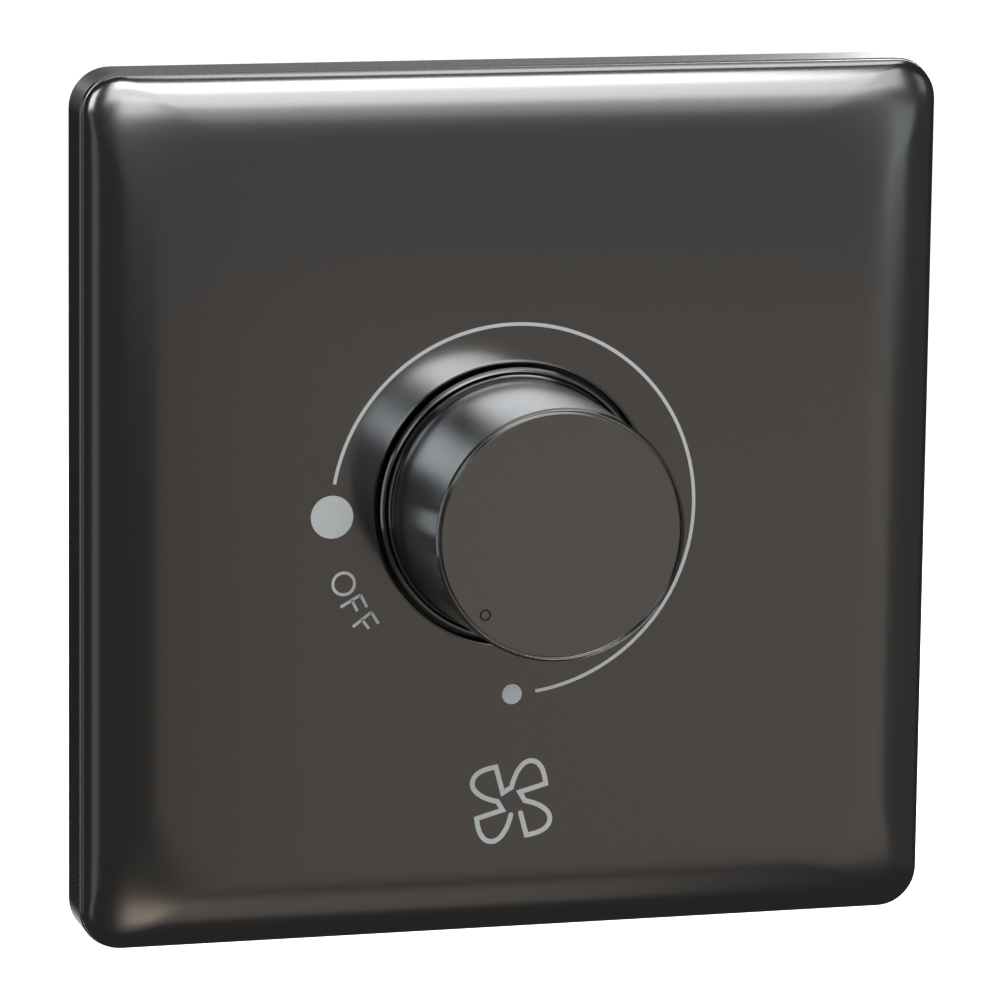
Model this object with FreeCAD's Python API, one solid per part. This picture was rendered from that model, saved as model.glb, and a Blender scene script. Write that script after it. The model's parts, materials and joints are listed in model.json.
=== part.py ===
import FreeCAD, Part
import math
import os

os.makedirs("parts", exist_ok=True)

# Fan speed control switch for a British-pattern wall box.
# Sizes are millimetres. The wall is the plane Y = 0, the front faces -Y and +Z is up.
# A height is counted forward from the wall, so a height h lies at Y = -h.

# Plate and frame
plate_side = 87.0
plate_corner = 4.0
frame_height = 5.5
frame_wall = 1.6
frame_edge = 0.25
web_standoff = 0.8
web_thickness = 2.0
rib_width = 1.2
seam_gap = 0.2
cover_inset = 0.1
cover_edge = 0.2
cover_height = 7.05
cover_wall = 1.6
pillow_width = 7.5
pillow_corner = 9.0
pillow_bands = 9
skirt_wall = 1.2
skirt_clearance = 0.1
latch_width = 8.0
latch_offset = 22.0
latch_thickness = 1.2
latch_barb = 0.7
pry_notch_width = 10.0
pry_notch_depth = 0.8

# Fixing slots for the wall box
fixing_centres = 60.3
fixing_slot_radius = 2.0
fixing_slot_length = 6.4
fixing_boss_wall = 1.6

# Bezel ring and knob
bezel_outer_radius = 13.77
bezel_wall = 0.52
bezel_proud = 0.55
bezel_chamfer = 0.2
hole_gap = 0.4
knob_gap = 0.2
knob_height = 24.1
knob_taper = 0.57
knob_wall = 1.5
knob_foot_height = 1.3
knob_foot_inset = 1.0
knob_flare = 0.7
knob_flare_run = 0.28
knob_rim_edge = 0.2
cap_inset = 0.5
cap_thickness = 0.9
cap_step = 0.4
cap_groove = 0.22
mark_inset = 1.34
mark_angle = 225.0
mark_radius = 0.58
mark_groove = 0.18
mark_depth = 0.2
hub_radius = 5.0
hub_rib = 1.2
hub_rib_depth = 5.0
hub_rib_count = 4

# Potentiometer and its mains switch
shaft_radius = 3.0
shaft_reach = 17.5
shaft_flat_depth = 1.2
shaft_flat_length = 8.5
shaft_running = 0.05
bush_radius = 4.5
bush_reach = 5.0
bush_flange = 1.2
bush_flange_thickness = 0.7
pot_radius = 8.5
pot_depth = 7.5
pot_wall = 0.8
pot_front = 1.2
rotor_clearance = 1.1
rotor_thickness = 1.4
wafer_thickness = 1.0
wiper_thickness = 0.3
wiper_ring_outer = 4.95
wiper_ring_inner = 2.1
wiper_arm_place = 3.95
wiper_arm_half = 0.6
track_clearance = 0.25
switch_depth = 6.0
switch_flat = 1.0
pin_width = 0.8
pin_length = 1.2
pin_pitch = 4.0
washer_rim = 2.0
washer_thickness = 0.5
washer_teeth = 8
nut_across_flats = 12.0
nut_thickness = 2.4
clip_thickness = 0.4
clip_width = 3.4

# Module housings
housing_wall = 1.8
housing_front_wall = 2.0
housing_corner = 2.5
housing_back = 30.0
housing_split = 9.0
tongue_length = 1.5
collar_wall = 1.3
collar_shoulder = 0.85
collar_shoulder_height = 4.0
collar_top_gap = 0.5
pillar_half = 2.6
pillar_gap = 0.3
screw_boss_half = 3.2
vent_width = 1.6
vent_length = 9.0
vent_pitch = 4.0
vent_count = 6

# Clearances shared by several pieces
snug = 0.05
loose = 0.2
part_gap = 0.8

# Circuit board and what it carries
board_thickness = 1.6
sheet_thickness = 1.5
sink_flange = 5.5
sink_bend = 1.0
pad_thickness = 0.2
triac_width = 10.0
triac_body_length = 9.2
triac_body_thickness = 4.4
triac_ridge = 0.35
triac_tab_length = 6.0
triac_tab_thickness = 1.3
triac_top = 5.0
triac_hole_radius = 1.8
triac_leg_pitch = 2.54
triac_leg_width = 0.9
triac_leg_thickness = 0.5
triac_leg_reach = 2.5
triac_leg_height = 2.6
triac_screw_radius = 1.5
triac_head_radius = 2.7
triac_head_thickness = 1.6
choke_radius = 8.0
choke_height = 8.0
choke_hole_radius = 2.2
choke_coil = 1.4
capacitor_width = 8.0
capacitor_length = 18.0
capacitor_height = 11.0
capacitor_leg_pitch = 15.0
choke_leg_half_pitch = 4.0
small_capacitor_width = 4.5
small_capacitor_length = 7.2
small_capacitor_height = 7.5
small_capacitor_leg_pitch = 5.0
capacitor_edge = 0.4
leg_half = 0.3
leg_below_board = 1.0
power_resistor_radius = 2.2
power_resistor_length = 13.0
resistor_radius = 1.15
resistor_length = 6.2
resistor_count = 3
diac_radius = 0.9
diac_length = 4.0
fuse_radius = 2.5
fuse_length = 20.0
fuse_cap_length = 5.0
fuse_wall = 0.4
fuse_fit = 0.01
fuse_clip_width = 4.5
fuse_clip_sheet = 0.4
fuse_height = 4.2

# Terminal block
terminal_count = 3
terminal_pitch = 8.5
terminal_depth = 13.0
terminal_bore_radius = 2.2
terminal_bore_length = 4.0
terminal_bore_offset = 4.8
terminal_access_radius = 2.4
terminal_head_sink = 1.2
terminal_head_thickness = 1.4
terminal_screw_radius = 1.5
terminal_groove = 0.6
clamp_width = 6.4
clamp_length = 7.0
clamp_wall = 1.3
clamp_pin_half = 0.5
driver_slot = 0.6
driver_slot_depth = 0.7

# Screws
screw_radius = 1.25
screw_hole_radius = 1.6
screw_head_radius = 2.6
screw_head_thickness = 1.8
frame_screw_length = 9.0
housing_screw_length = 19.0
pilot_clearance = 0.03

# Places worked out from the sizes above. Heights run forward from the wall, Y values backward.
half_plate = plate_side / 2
web_height = web_standoff + web_thickness
rim_height = frame_height + seam_gap
skirt_half = half_plate - frame_wall - skirt_clearance
latch_z = skirt_half - skirt_wall - 2 * latch_thickness
bezel_inner_radius = bezel_outer_radius - bezel_wall
cover_hole_radius = bezel_outer_radius + hole_gap
bezel_height = cover_height + bezel_proud
knob_foot_radius = bezel_inner_radius - knob_gap
knob_rim_radius = knob_foot_radius - knob_taper
cap_radius = knob_rim_radius - cap_inset
mark_place_radius = cap_radius - mark_inset
knob_foot_bottom = bezel_height - knob_foot_inset
collar_radius = bezel_inner_radius - snug
collar_top = knob_foot_bottom - collar_top_gap
collar_shoulder_radius = bezel_outer_radius + collar_shoulder
web_hole_radius = collar_shoulder_radius + loose
recess_radius = cap_radius + cap_groove
recess_floor = knob_height - cap_thickness
knob_ceiling = recess_floor - knob_wall
hub_bottom = shaft_reach - shaft_flat_length + clip_thickness + loose
rotor_radius = pot_radius - pot_wall - rotor_clearance

y_web = -web_standoff
y_sink = y_web + housing_front_wall
y_pot = y_sink + sheet_thickness
y_switch = y_pot + pot_depth
y_board = y_switch + switch_depth
y_board_back = y_board + board_thickness

side_band = max(capacitor_width, triac_width) + 2 * part_gap
end_band = 2 * choke_radius + 2 * part_gap
housing_half_w = pot_radius + side_band + housing_wall
housing_half_h = pot_radius + end_band + housing_wall
inner_half_w = housing_half_w - housing_wall
inner_half_h = housing_half_h - housing_wall
pillar_x = inner_half_w - pillar_gap - pillar_half
pillar_z = inner_half_h - pillar_gap - pillar_half
terminal_half_w = terminal_count * terminal_pitch / 2
terminal_top = -housing_half_h + terminal_depth
terminal_y = y_board_back + terminal_bore_offset


def vec(x, y, z):
    return FreeCAD.Vector(x, y, z)


def rod_y(radius, y0, y1, x=0.0, z=0.0):
    return Part.makeCylinder(radius, y1 - y0, vec(x, y0, z), vec(0, 1, 0))


def rod_x(radius, x0, x1, y, z):
    return Part.makeCylinder(radius, x1 - x0, vec(x0, y, z), vec(1, 0, 0))


def rod_z(radius, z0, z1, x, y):
    return Part.makeCylinder(radius, z1 - z0, vec(x, y, z0), vec(0, 0, 1))


def tube_y(outer, inner, y0, y1, x=0.0, z=0.0):
    return rod_y(outer, y0, y1, x, z).cut(rod_y(inner, y0 - 1, y1 + 1, x, z))


def block(x0, x1, y0, y1, z0, z1):
    return Part.makeBox(x1 - x0, y1 - y0, z1 - z0, vec(x0, y0, z0))


def bar_y(half_w, half_h, y0, y1, x=0.0, z=0.0):
    """A rectangular bar along Y about the place (x, z)."""
    return block(x - half_w, x + half_w, y0, y1, z - half_h, z + half_h)


def leg(x, z, y0=None):
    """A square leg that goes down through the board from its front, or from y0."""
    start = y_board if y0 is None else y0
    return bar_y(leg_half, leg_half, start, y_board_back + leg_below_board, x, z)


def rounded_wire(half_w, half_h, corner, y, x=0.0, z=0.0):
    """A rounded rectangle in the plane Y = y, always drawn from the same corner."""
    edges = []
    centres = [(1, 1), (-1, 1), (-1, -1), (1, -1)]
    for index, (sx, sz) in enumerate(centres):
        cx = x + sx * (half_w - corner)
        cz = z + sz * (half_h - corner)
        start = math.radians(90 * index)
        points = []
        for step in (0, 45, 90):
            angle = start + math.radians(step)
            points.append(vec(cx + corner * math.cos(angle), y, cz + corner * math.sin(angle)))
        edges.append(points)
    wire = []
    for index, points in enumerate(edges):
        following = edges[(index + 1) % 4]
        wire.append(Part.Arc(*points).toShape())
        wire.append(Part.LineSegment(points[2], following[0]).toShape())
    return Part.Wire(wire)


def rounded_block(half_w, half_h, corner, y0, y1, x=0.0, z=0.0):
    face = Part.Face(rounded_wire(half_w, half_h, corner, y0, x, z))
    return face.extrude(vec(0, y1 - y0, 0))


def spun(points):
    """A solid turned about the knob's axis from (radius, height) points."""
    corners = [vec(r, -h, 0) for r, h in points]
    wire = Part.makePolygon(corners + [corners[0]])
    return Part.Face(wire).revolve(vec(0, 0, 0), vec(0, 1, 0), 360)


def stadium_y(radius, length, y0, y1, x=0.0, z=0.0):
    """A slot-shaped prism, long along X."""
    reach = length / 2 - radius
    solid = block(x - reach, x + reach, y0, y1, z - radius, z + radius)
    solid = solid.fuse(rod_y(radius, y0, y1, x - reach, z))
    return solid.fuse(rod_y(radius, y0, y1, x + reach, z)).removeSplitter()


def flat_edges(solid, y):
    """The edges of a solid that lie in the plane Y = y."""
    return [e for e in solid.Edges if abs(e.BoundBox.YMin - y) < 0.001 and e.BoundBox.YLength < 0.001]


def joined(solids):
    base = solids[0]
    if len(solids) > 1:
        base = base.multiFuse(solids[1:])
    return base.removeSplitter()


def group(solids):
    return Part.makeCompound(solids)


def frame_screw_places():
    """Two opposite corners, where the screws from the mounting frame go."""
    return [(-pillar_x, pillar_z), (pillar_x, -pillar_z)]


def housing_screw_places():
    """The other two corners, where the screws from the rear housing go."""
    return [(pillar_x, pillar_z), (-pillar_x, -pillar_z)]


def corner_block(x, z, half, y0, y1):
    """A block in a corner of the module, from the inner sides of a post into the two walls."""
    x_in, x_out = sorted([x - math.copysign(half, x), math.copysign(inner_half_w + snug, x)])
    z_in, z_out = sorted([z - math.copysign(half, z), math.copysign(inner_half_h + snug, z)])
    return block(x_in, x_out, y0, y1, z_in, z_out)


def terminal_places():
    first = -(terminal_count - 1) / 2 * terminal_pitch
    return [first + index * terminal_pitch for index in range(terminal_count)]


def cover_plate():
    """Shell with a soft pillow edge: level curves along a quarter ellipse, joined by narrow bands."""
    half = half_plate - cover_inset
    edge_top = rim_height + cover_edge
    rise = cover_height - edge_top
    levels = []
    for step in range(pillow_bands + 1):
        angle = math.pi / 2 * step / pillow_bands
        inset = pillow_width * (1 - math.cos(angle))
        height = edge_top + rise * math.sin(angle)
        corner = plate_corner + (pillow_corner - plate_corner) * inset / pillow_width
        levels.append(rounded_wire(half - inset, half - inset, corner, -height))
    crown = Part.makeLoft(levels, True, True)
    edge = rounded_block(half, half, plate_corner, -edge_top, -rim_height)
    back = cover_height - cover_wall
    core_corner = plate_corner - frame_wall
    core = rounded_block(skirt_half, skirt_half, core_corner, -edge_top, -back)
    skirt_end = -(web_height + loose)
    inner_half = skirt_half - skirt_wall
    skirt = rounded_block(skirt_half, skirt_half, core_corner, -back, skirt_end)
    skirt = skirt.cut(rounded_block(inner_half, inner_half, core_corner / 2, -back - 1, skirt_end + 1))
    pieces = [crown, edge, core, skirt]
    barb_top = web_standoff - snug
    for sx in (-1, 1):
        for sz in (-1, 1):
            x0 = sx * latch_offset - latch_width / 2
            z0 = sz * latch_z
            z1 = z0 + sz * latch_thickness
            z2 = z1 + sz * latch_barb
            tongue = block(x0, x0 + latch_width, -back, -snug, min(z0, z1), max(z0, z1))
            barb = block(x0, x0 + latch_width, -barb_top, -snug, min(z0, z2), max(z0, z2))
            pieces += [tongue, barb]
    body = joined(pieces)
    hole = rod_y(cover_hole_radius, -cover_height - 1, 0)
    return body.cut(hole)


def mounting_frame():
    """Shallow tray: side wall, web, fixing slots, latch windows and ribs on the back."""
    outer = rounded_block(half_plate, half_plate, plate_corner, -frame_height, 0)
    outer = outer.makeChamfer(frame_edge, flat_edges(outer, -frame_height))
    inner_half = half_plate - frame_wall
    inner_corner = plate_corner - frame_wall
    inner = rounded_block(inner_half, inner_half, inner_corner, -frame_height - 1, 1)
    web = rounded_block(inner_half, inner_half, inner_corner, -web_height, -web_standoff)
    pieces = [outer.cut(inner), web]
    guard_w = housing_half_w + loose
    guard_h = housing_half_h + loose
    guard = rounded_block(guard_w + rib_width, guard_h + rib_width, housing_corner, -web_standoff, 0)
    guard = guard.cut(rounded_block(guard_w, guard_h, housing_corner, -web_standoff - 1, 1))
    pieces.append(guard)
    for sx in (-1, 1):
        x = sx * fixing_centres / 2
        boss = fixing_slot_radius + fixing_boss_wall
        length = fixing_slot_length + 2 * fixing_boss_wall
        pieces.append(stadium_y(boss, length, -web_standoff, 0, x))
        for sz in (-1, 1):
            rib_x = sx * latch_offset / 2
            z0, z1 = sorted([sz * (guard_h + rib_width / 2), sz * inner_half])
            half = rib_width / 2
            pieces.append(block(rib_x - half, rib_x + half, -web_standoff, 0, z0, z1))
    body = joined(pieces)
    front, behind = -web_height - 1, 1
    cuts = [rod_y(web_hole_radius, front, behind)]
    for sx in (-1, 1):
        slot_x = sx * fixing_centres / 2
        cuts.append(stadium_y(fixing_slot_radius, fixing_slot_length, front, behind, slot_x))
        for sz in (-1, 1):
            x0 = sx * latch_offset - latch_width / 2 - loose
            x1 = x0 + latch_width + 2 * loose
            z0, z1 = sorted([sz * (latch_z - latch_thickness / 2), sz * (latch_z + latch_thickness + loose)])
            cuts.append(block(x0, x1, front, behind, z0, z1))
    for x, z in frame_screw_places():
        cuts.append(rod_y(screw_hole_radius, front, behind, x, z))
    notch_half = pry_notch_width / 2
    notch_end = -frame_height + pry_notch_depth
    notch_top = -half_plate + frame_wall + 1
    cuts.append(block(-notch_half, notch_half, -frame_height - 1, notch_end, -half_plate - 1, notch_top))
    return body.cut(cuts)


def bezel_ring():
    bottom = collar_shoulder_height
    inner_edge = bezel_chamfer / 2
    return spun([
        (bezel_inner_radius, bottom),
        (bezel_outer_radius, bottom),
        (bezel_outer_radius, bezel_height - bezel_chamfer),
        (bezel_outer_radius - bezel_chamfer, bezel_height),
        (bezel_inner_radius + inner_edge, bezel_height),
        (bezel_inner_radius, bezel_height - inner_edge),
    ])


def shaft_section(radius, flat, h0, h1):
    """A round bar about the knob's axis with one flat on its upper side."""
    bar = rod_y(radius, -h1, -h0)
    return bar.cut(block(-2 * radius, 2 * radius, -h1 - 1, -h0 + 1, flat, 3 * radius))


def knob():
    """Turned shell: tapered skirt on a flared foot, hub and four ribs inside."""
    foot_top = knob_foot_bottom + knob_foot_height
    flare_top = foot_top + knob_flare
    flare_radius = knob_foot_radius - knob_flare_run
    shoulder = knob_height - knob_rim_edge
    inner = knob_rim_radius - knob_wall
    shell = spun([
        (inner, knob_foot_bottom),
        (knob_foot_radius, knob_foot_bottom),
        (knob_foot_radius, foot_top),
        (flare_radius, flare_top),
        (knob_rim_radius, shoulder),
        (knob_rim_radius - knob_rim_edge, knob_height),
        (recess_radius, knob_height),
        (recess_radius, recess_floor),
        (0, recess_floor),
        (0, knob_ceiling),
        (inner, knob_ceiling),
    ])
    root = -knob_ceiling - knob_wall / 2
    pieces = [shell, rod_y(hub_radius, root, -hub_bottom)]
    rib_end = inner + knob_wall / 2
    for index in range(hub_rib_count):
        rib = block(hub_radius / 2, rib_end, root, hub_rib_depth - knob_ceiling, -hub_rib / 2, hub_rib / 2)
        rib.rotate(vec(0, 0, 0), vec(0, 1, 0), 360 / hub_rib_count * (index + 0.5))
        pieces.append(rib)
    body = joined(pieces)
    flat = shaft_radius - shaft_flat_depth + clip_thickness + 2 * shaft_running
    bore_top = shaft_reach + part_gap
    bore = shaft_section(shaft_radius + shaft_running, flat, hub_bottom - 1, bore_top)
    return body.cut(bore)


def knob_cap():
    """Disc with a step that seats in the knob's recess and a ring mark near its edge."""
    step_top = knob_height - cap_step
    disc = spun([
        (0, recess_floor),
        (recess_radius - snug, recess_floor),
        (recess_radius - snug, step_top),
        (cap_radius, step_top),
        (cap_radius, knob_height),
        (0, knob_height),
    ])
    angle = math.radians(mark_angle)
    x = mark_place_radius * math.cos(angle)
    z = mark_place_radius * math.sin(angle)
    floor = -knob_height + mark_depth
    groove = tube_y(mark_radius, mark_radius - mark_groove, -knob_height - 1, floor, x, z)
    return disc.cut(groove)


def knob_clip():
    """Leaf spring between the hub's flat and the shaft's flat, with a foot over the hub's end."""
    near = shaft_radius - shaft_flat_depth + shaft_running
    far = near + clip_thickness
    half = clip_width / 2
    leaf = block(-half, half, -shaft_reach, -hub_bottom + clip_thickness, near, far)
    foot_end = (near + hub_radius) / 2 + clip_thickness
    foot = block(-half, half, -hub_bottom, -hub_bottom + clip_thickness, near, foot_end)
    return joined([leaf, foot])


def front_housing():
    """Tray with the collar for the bezel ring and a pillar in each corner, two for each pair of screws."""
    outer = rounded_block(housing_half_w, housing_half_h, housing_corner, y_web, housing_split)
    inner_corner = housing_corner - housing_wall
    inner = rounded_block(inner_half_w, inner_half_h, inner_corner, y_sink, housing_split + 1)
    rebate_w = housing_half_w - housing_wall / 2
    rebate_h = housing_half_h - housing_wall / 2
    rebate_corner = housing_corner - housing_wall / 2
    rebate_start = housing_split - tongue_length
    rebate = rounded_block(rebate_w, rebate_h, rebate_corner, rebate_start, housing_split + 1)
    shell = outer.cut([inner, rebate])
    shoulder = rod_y(collar_shoulder_radius, -collar_shoulder_height, y_sink)
    collar = rod_y(collar_radius, -collar_top, y_sink)
    pieces = [shell, shoulder, collar]
    for x, z in frame_screw_places() + housing_screw_places():
        pieces.append(bar_y(pillar_half, pillar_half, y_web, y_board, x, z))
        pieces.append(corner_block(x, z, pillar_half, y_web, rebate_start))
    body = joined(pieces)
    cuts = [rod_y(collar_radius - collar_wall, -collar_top - 1, y_web)]
    cuts.append(rod_y(bush_radius + loose, -collar_top, y_sink + 1))
    pilot_radius = screw_radius + pilot_clearance
    for x, z in frame_screw_places():
        cuts.append(rod_y(pilot_radius, y_web - 1, frame_screw_length - web_height + part_gap, x, z))
    for x, z in housing_screw_places():
        tip = housing_back - screw_head_thickness - housing_screw_length
        cuts.append(rod_y(pilot_radius, tip - part_gap, y_board + 1, x, z))
    screw_x, screw_z = triac_screw_place()
    screw_start = y_web + housing_front_wall / 4
    cuts.append(rod_y(triac_screw_radius + loose, screw_start, y_sink + 1, screw_x, screw_z))
    return body.cut(cuts)


def rear_housing():
    """Box open to the front, with two screw bosses, vents and a bay for the terminals."""
    inner_corner = housing_corner - housing_wall
    back_wall = housing_back - housing_wall
    outer = rounded_block(housing_half_w, housing_half_h, housing_corner, housing_split, housing_back)
    inner = rounded_block(inner_half_w, inner_half_h, inner_corner, housing_split - 1, back_wall)
    tongue_w = housing_half_w - housing_wall / 2 - snug
    tongue_h = housing_half_h - housing_wall / 2 - snug
    tongue_corner = housing_corner - housing_wall / 2
    y_tongue = housing_split - tongue_length + loose
    y_overlap = housing_split + tongue_length
    tongue = rounded_block(tongue_w, tongue_h, tongue_corner, y_tongue, y_overlap)
    tongue = tongue.cut(rounded_block(inner_half_w, inner_half_h, inner_corner, y_tongue - 1, y_overlap + 1))
    pieces = [outer.cut(inner), tongue]
    for x, z in housing_screw_places():
        pieces.append(corner_block(x, z, screw_boss_half, y_board_back, housing_back - snug))
    body = joined(pieces)
    cuts = []
    for x, z in housing_screw_places():
        cuts.append(rod_y(screw_hole_radius, y_board_back - 1, housing_back + 1, x, z))
        seat = housing_back - screw_head_thickness
        cuts.append(rod_y(screw_head_radius + loose, seat, housing_back + 1, x, z))
    bay_w = terminal_half_w + snug
    bay_top = terminal_top + snug
    cuts.append(block(-bay_w, bay_w, y_board_back - snug, housing_back + 1, -housing_half_h - 1, bay_top))
    start = -(vent_count - 1) / 2 * vent_pitch
    vent_middle = (y_board + back_wall) / 2
    vent_y0 = vent_middle - vent_length / 2
    vent_y1 = vent_middle + vent_length / 2
    for index in range(vent_count):
        x0 = start + index * vent_pitch - vent_width / 2
        cuts.append(block(x0, x0 + vent_width, vent_y0, vent_y1, inner_half_h - 1, housing_half_h + 1))
    return body.cut(cuts)


def heat_sink():
    """Folded aluminium sheet: a plate against the front wall and a flange along the top."""
    half_w = pillar_x - pillar_half - loose
    half_h = inner_half_h - loose
    y_end = y_sink + sink_flange
    under = half_h - sheet_thickness
    outer = block(-half_w, half_w, y_sink, y_end, -half_h, half_h)
    outer = outer.cut(block(-half_w - 1, half_w + 1, y_pot, y_end + 1, -half_h - 1, under))
    bend = [e for e in flat_edges(outer, y_sink) if abs(e.BoundBox.ZMin - half_h) < 0.001]
    outer = outer.makeFillet(sink_bend, bend)
    wing = triac_center_x() + triac_width / 2
    side = block(half_w - 1, wing, y_sink, y_pot, triac_bottom(), triac_top)
    screw_x, screw_z = triac_screw_place()
    body = joined([outer, side])
    cuts = [rod_y(bush_radius + loose, y_sink - 1, y_pot + 1)]
    cuts.append(rod_y(triac_screw_radius + pilot_clearance, y_sink - 1, y_pot + 1, screw_x, screw_z))
    return body.cut(cuts)


def triac_center_x():
    return pot_radius + part_gap + triac_width / 2


def triac_bottom():
    return triac_top - triac_tab_length - triac_body_length


def triac_leg_bottom():
    return triac_bottom() - triac_leg_reach


def triac_plate(y0, y1):
    """A plate under the whole triac, with the hole for its screw."""
    x = triac_center_x()
    plate = block(x - triac_width / 2, x + triac_width / 2, y0, y1, triac_bottom(), triac_top)
    screw_x, screw_z = triac_screw_place()
    return plate.cut(rod_y(triac_hole_radius, y0 - 1, y1 + 1, screw_x, screw_z))


def triac_screw_place():
    return triac_center_x(), triac_top - triac_tab_length / 2


def triac_pad():
    return triac_plate(y_pot, y_pot + pad_thickness)


def triac_tab():
    y0 = y_pot + pad_thickness
    return triac_plate(y0, y0 + triac_tab_thickness)


def triac_body():
    x = triac_center_x()
    y0 = y_pot + pad_thickness + triac_tab_thickness
    y1 = y_pot + pad_thickness + triac_body_thickness
    top = triac_top - triac_tab_length
    body = block(x - triac_width / 2, x + triac_width / 2, y0, y1, top - triac_body_length, top)
    return body.makeChamfer(triac_ridge, flat_edges(body, y1))


def triac_legs():
    """Three legs that leave the body's lower end and turn back through the board."""
    y0 = y_pot + pad_thickness + triac_leg_height
    y_end = y_board_back + leg_below_board
    z0 = triac_leg_bottom()
    half = triac_leg_width / 2
    legs = []
    for step in (-1, 0, 1):
        x = triac_center_x() + step * triac_leg_pitch
        out = block(x - half, x + half, y0, y0 + triac_leg_thickness, z0, triac_bottom())
        back = block(x - half, x + half, y0, y_end, z0, z0 + triac_leg_thickness)
        legs.append(joined([out, back]))
    return group(legs)


def triac_screw():
    x, z = triac_screw_place()
    seat = y_pot + pad_thickness + triac_tab_thickness
    head_end = seat + triac_head_thickness
    head = rod_y(triac_head_radius, seat, head_end, x, z)
    shank = rod_y(triac_screw_radius, y_sink - housing_front_wall / 2, seat, x, z)
    slot = bar_y(triac_head_radius + 1, driver_slot / 2, head_end - driver_slot_depth, head_end + 1, x, z)
    return joined([head, shank]).cut(slot)


def pot_case():
    """Stamped cup that holds the wafer, open to the switch behind it."""
    cup = rod_y(pot_radius, y_pot, y_switch)
    cavity = rod_y(pot_radius - pot_wall, y_pot + pot_front, y_switch + 1)
    hole = rod_y(bush_radius + snug, y_pot - 1, y_pot + pot_front + 1)
    gate_half = pin_pitch + pin_width
    gate = block(-gate_half, gate_half, wafer_front(), y_switch + 1, -pot_radius - 1, 0)
    return cup.cut([cavity, hole, gate])


def wafer_front():
    return y_switch - wafer_thickness


def pot_bush():
    """Threaded bush clamped through the case, heat sink and front wall by the nut."""
    y_flange = y_pot + pot_front
    body = rod_y(bush_radius, -bush_reach, y_flange)
    flange = rod_y(bush_radius + bush_flange, y_flange, y_flange + bush_flange_thickness)
    bore = rod_y(shaft_radius + shaft_running, -bush_reach - 1, y_flange + bush_flange_thickness + 1)
    return joined([body, flange]).cut(bore)


def rotor_front():
    return y_pot + pot_front + bush_flange_thickness + track_clearance


def pot_shaft():
    """Shaft, rotor disc and rear spigot turned as one, with the flat for the knob's clip."""
    flat_start = shaft_reach - shaft_flat_length
    flat = shaft_radius - shaft_flat_depth
    nose = shaft_section(shaft_radius, flat, flat_start, shaft_reach)
    stem = rod_y(shaft_radius, -flat_start, rotor_front())
    disc = rod_y(rotor_radius, rotor_front(), rotor_front() + rotor_thickness)
    spigot = rod_y(shaft_radius / 2, rotor_front() + rotor_thickness, y_switch - track_clearance)
    return joined([nose, stem, disc, spigot])


def pot_wiper():
    """Sprung contact on the back of the rotor, just clear of the wafer."""
    y0 = rotor_front() + rotor_thickness
    y1 = wafer_front() - track_clearance
    ring = tube_y(wiper_ring_outer, wiper_ring_inner, y0, y0 + wiper_thickness)
    arms = [bar_y(wiper_arm_half, wiper_arm_half, y0, y1, side * wiper_arm_place) for side in (-1, 1)]
    return joined([ring] + arms)


def pot_wafer():
    """Resistance wafer with a tail that carries the three pins out of the case."""
    disc = rod_y(pot_radius - pot_wall - snug, wafer_front(), y_switch)
    half = pin_pitch + pin_width - snug
    tail = block(-half, half, wafer_front(), y_switch, -pot_radius - pin_length / 2, -pot_radius / 2)
    hole = rod_y(shaft_radius / 2 + loose, wafer_front() - 1, y_switch + 1)
    return joined([disc, tail]).cut(hole)


def pot_pin_middle():
    return -pot_radius - pin_length / 2 - pin_width / 4


def pot_pins():
    """Three flat pins down the edge of the wafer's tail and through the board."""
    end = y_board_back + leg_below_board
    pins = []
    for step in (-1, 0, 1):
        x = step * pin_pitch
        pins.append(bar_y(pin_width / 2, pin_width / 4, wafer_front(), end, x, pot_pin_middle()))
    return group(pins)


def pot_washer():
    """Lock washer under the nut, with teeth cut round its rim."""
    outer = bush_radius + washer_rim
    y0 = y_web - washer_thickness
    ring = tube_y(outer, bush_radius + snug, y0, y_web)
    cuts = []
    for index in range(washer_teeth):
        deep = washer_thickness
        notch = block(outer - deep, outer + 1, y0 - 1, y_web + 1, -deep, deep)
        notch.rotate(vec(0, 0, 0), vec(0, 1, 0), 360 / washer_teeth * index)
        cuts.append(notch)
    return ring.cut(cuts)


def pot_nut():
    y1 = y_web - washer_thickness
    y0 = y1 - nut_thickness
    reach = nut_across_flats / math.sqrt(3)
    turns = [math.radians(60 * index) for index in range(7)]
    points = [vec(reach * math.cos(turn), y0, reach * math.sin(turn)) for turn in turns]
    hexagon = Part.Face(Part.makePolygon(points)).extrude(vec(0, nut_thickness, 0))
    return hexagon.cut(rod_y(bush_radius + pilot_clearance, y0 - 1, y1 + 1))


def switch_case():
    """Closed case of the mains switch that the shaft's last turn works."""
    radius = pot_radius - pot_wall / 2
    drum = rod_y(radius, y_switch, y_board)
    side = radius - switch_flat
    return drum.common(block(-radius - 1, radius + 1, y_switch - 1, y_board + 1, -side, side))


def switch_pins():
    end = y_board_back + leg_below_board
    half = pin_width / 2
    return group([bar_y(half, half, y_board, end, side * pin_pitch) for side in (-1, 1)])


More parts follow.
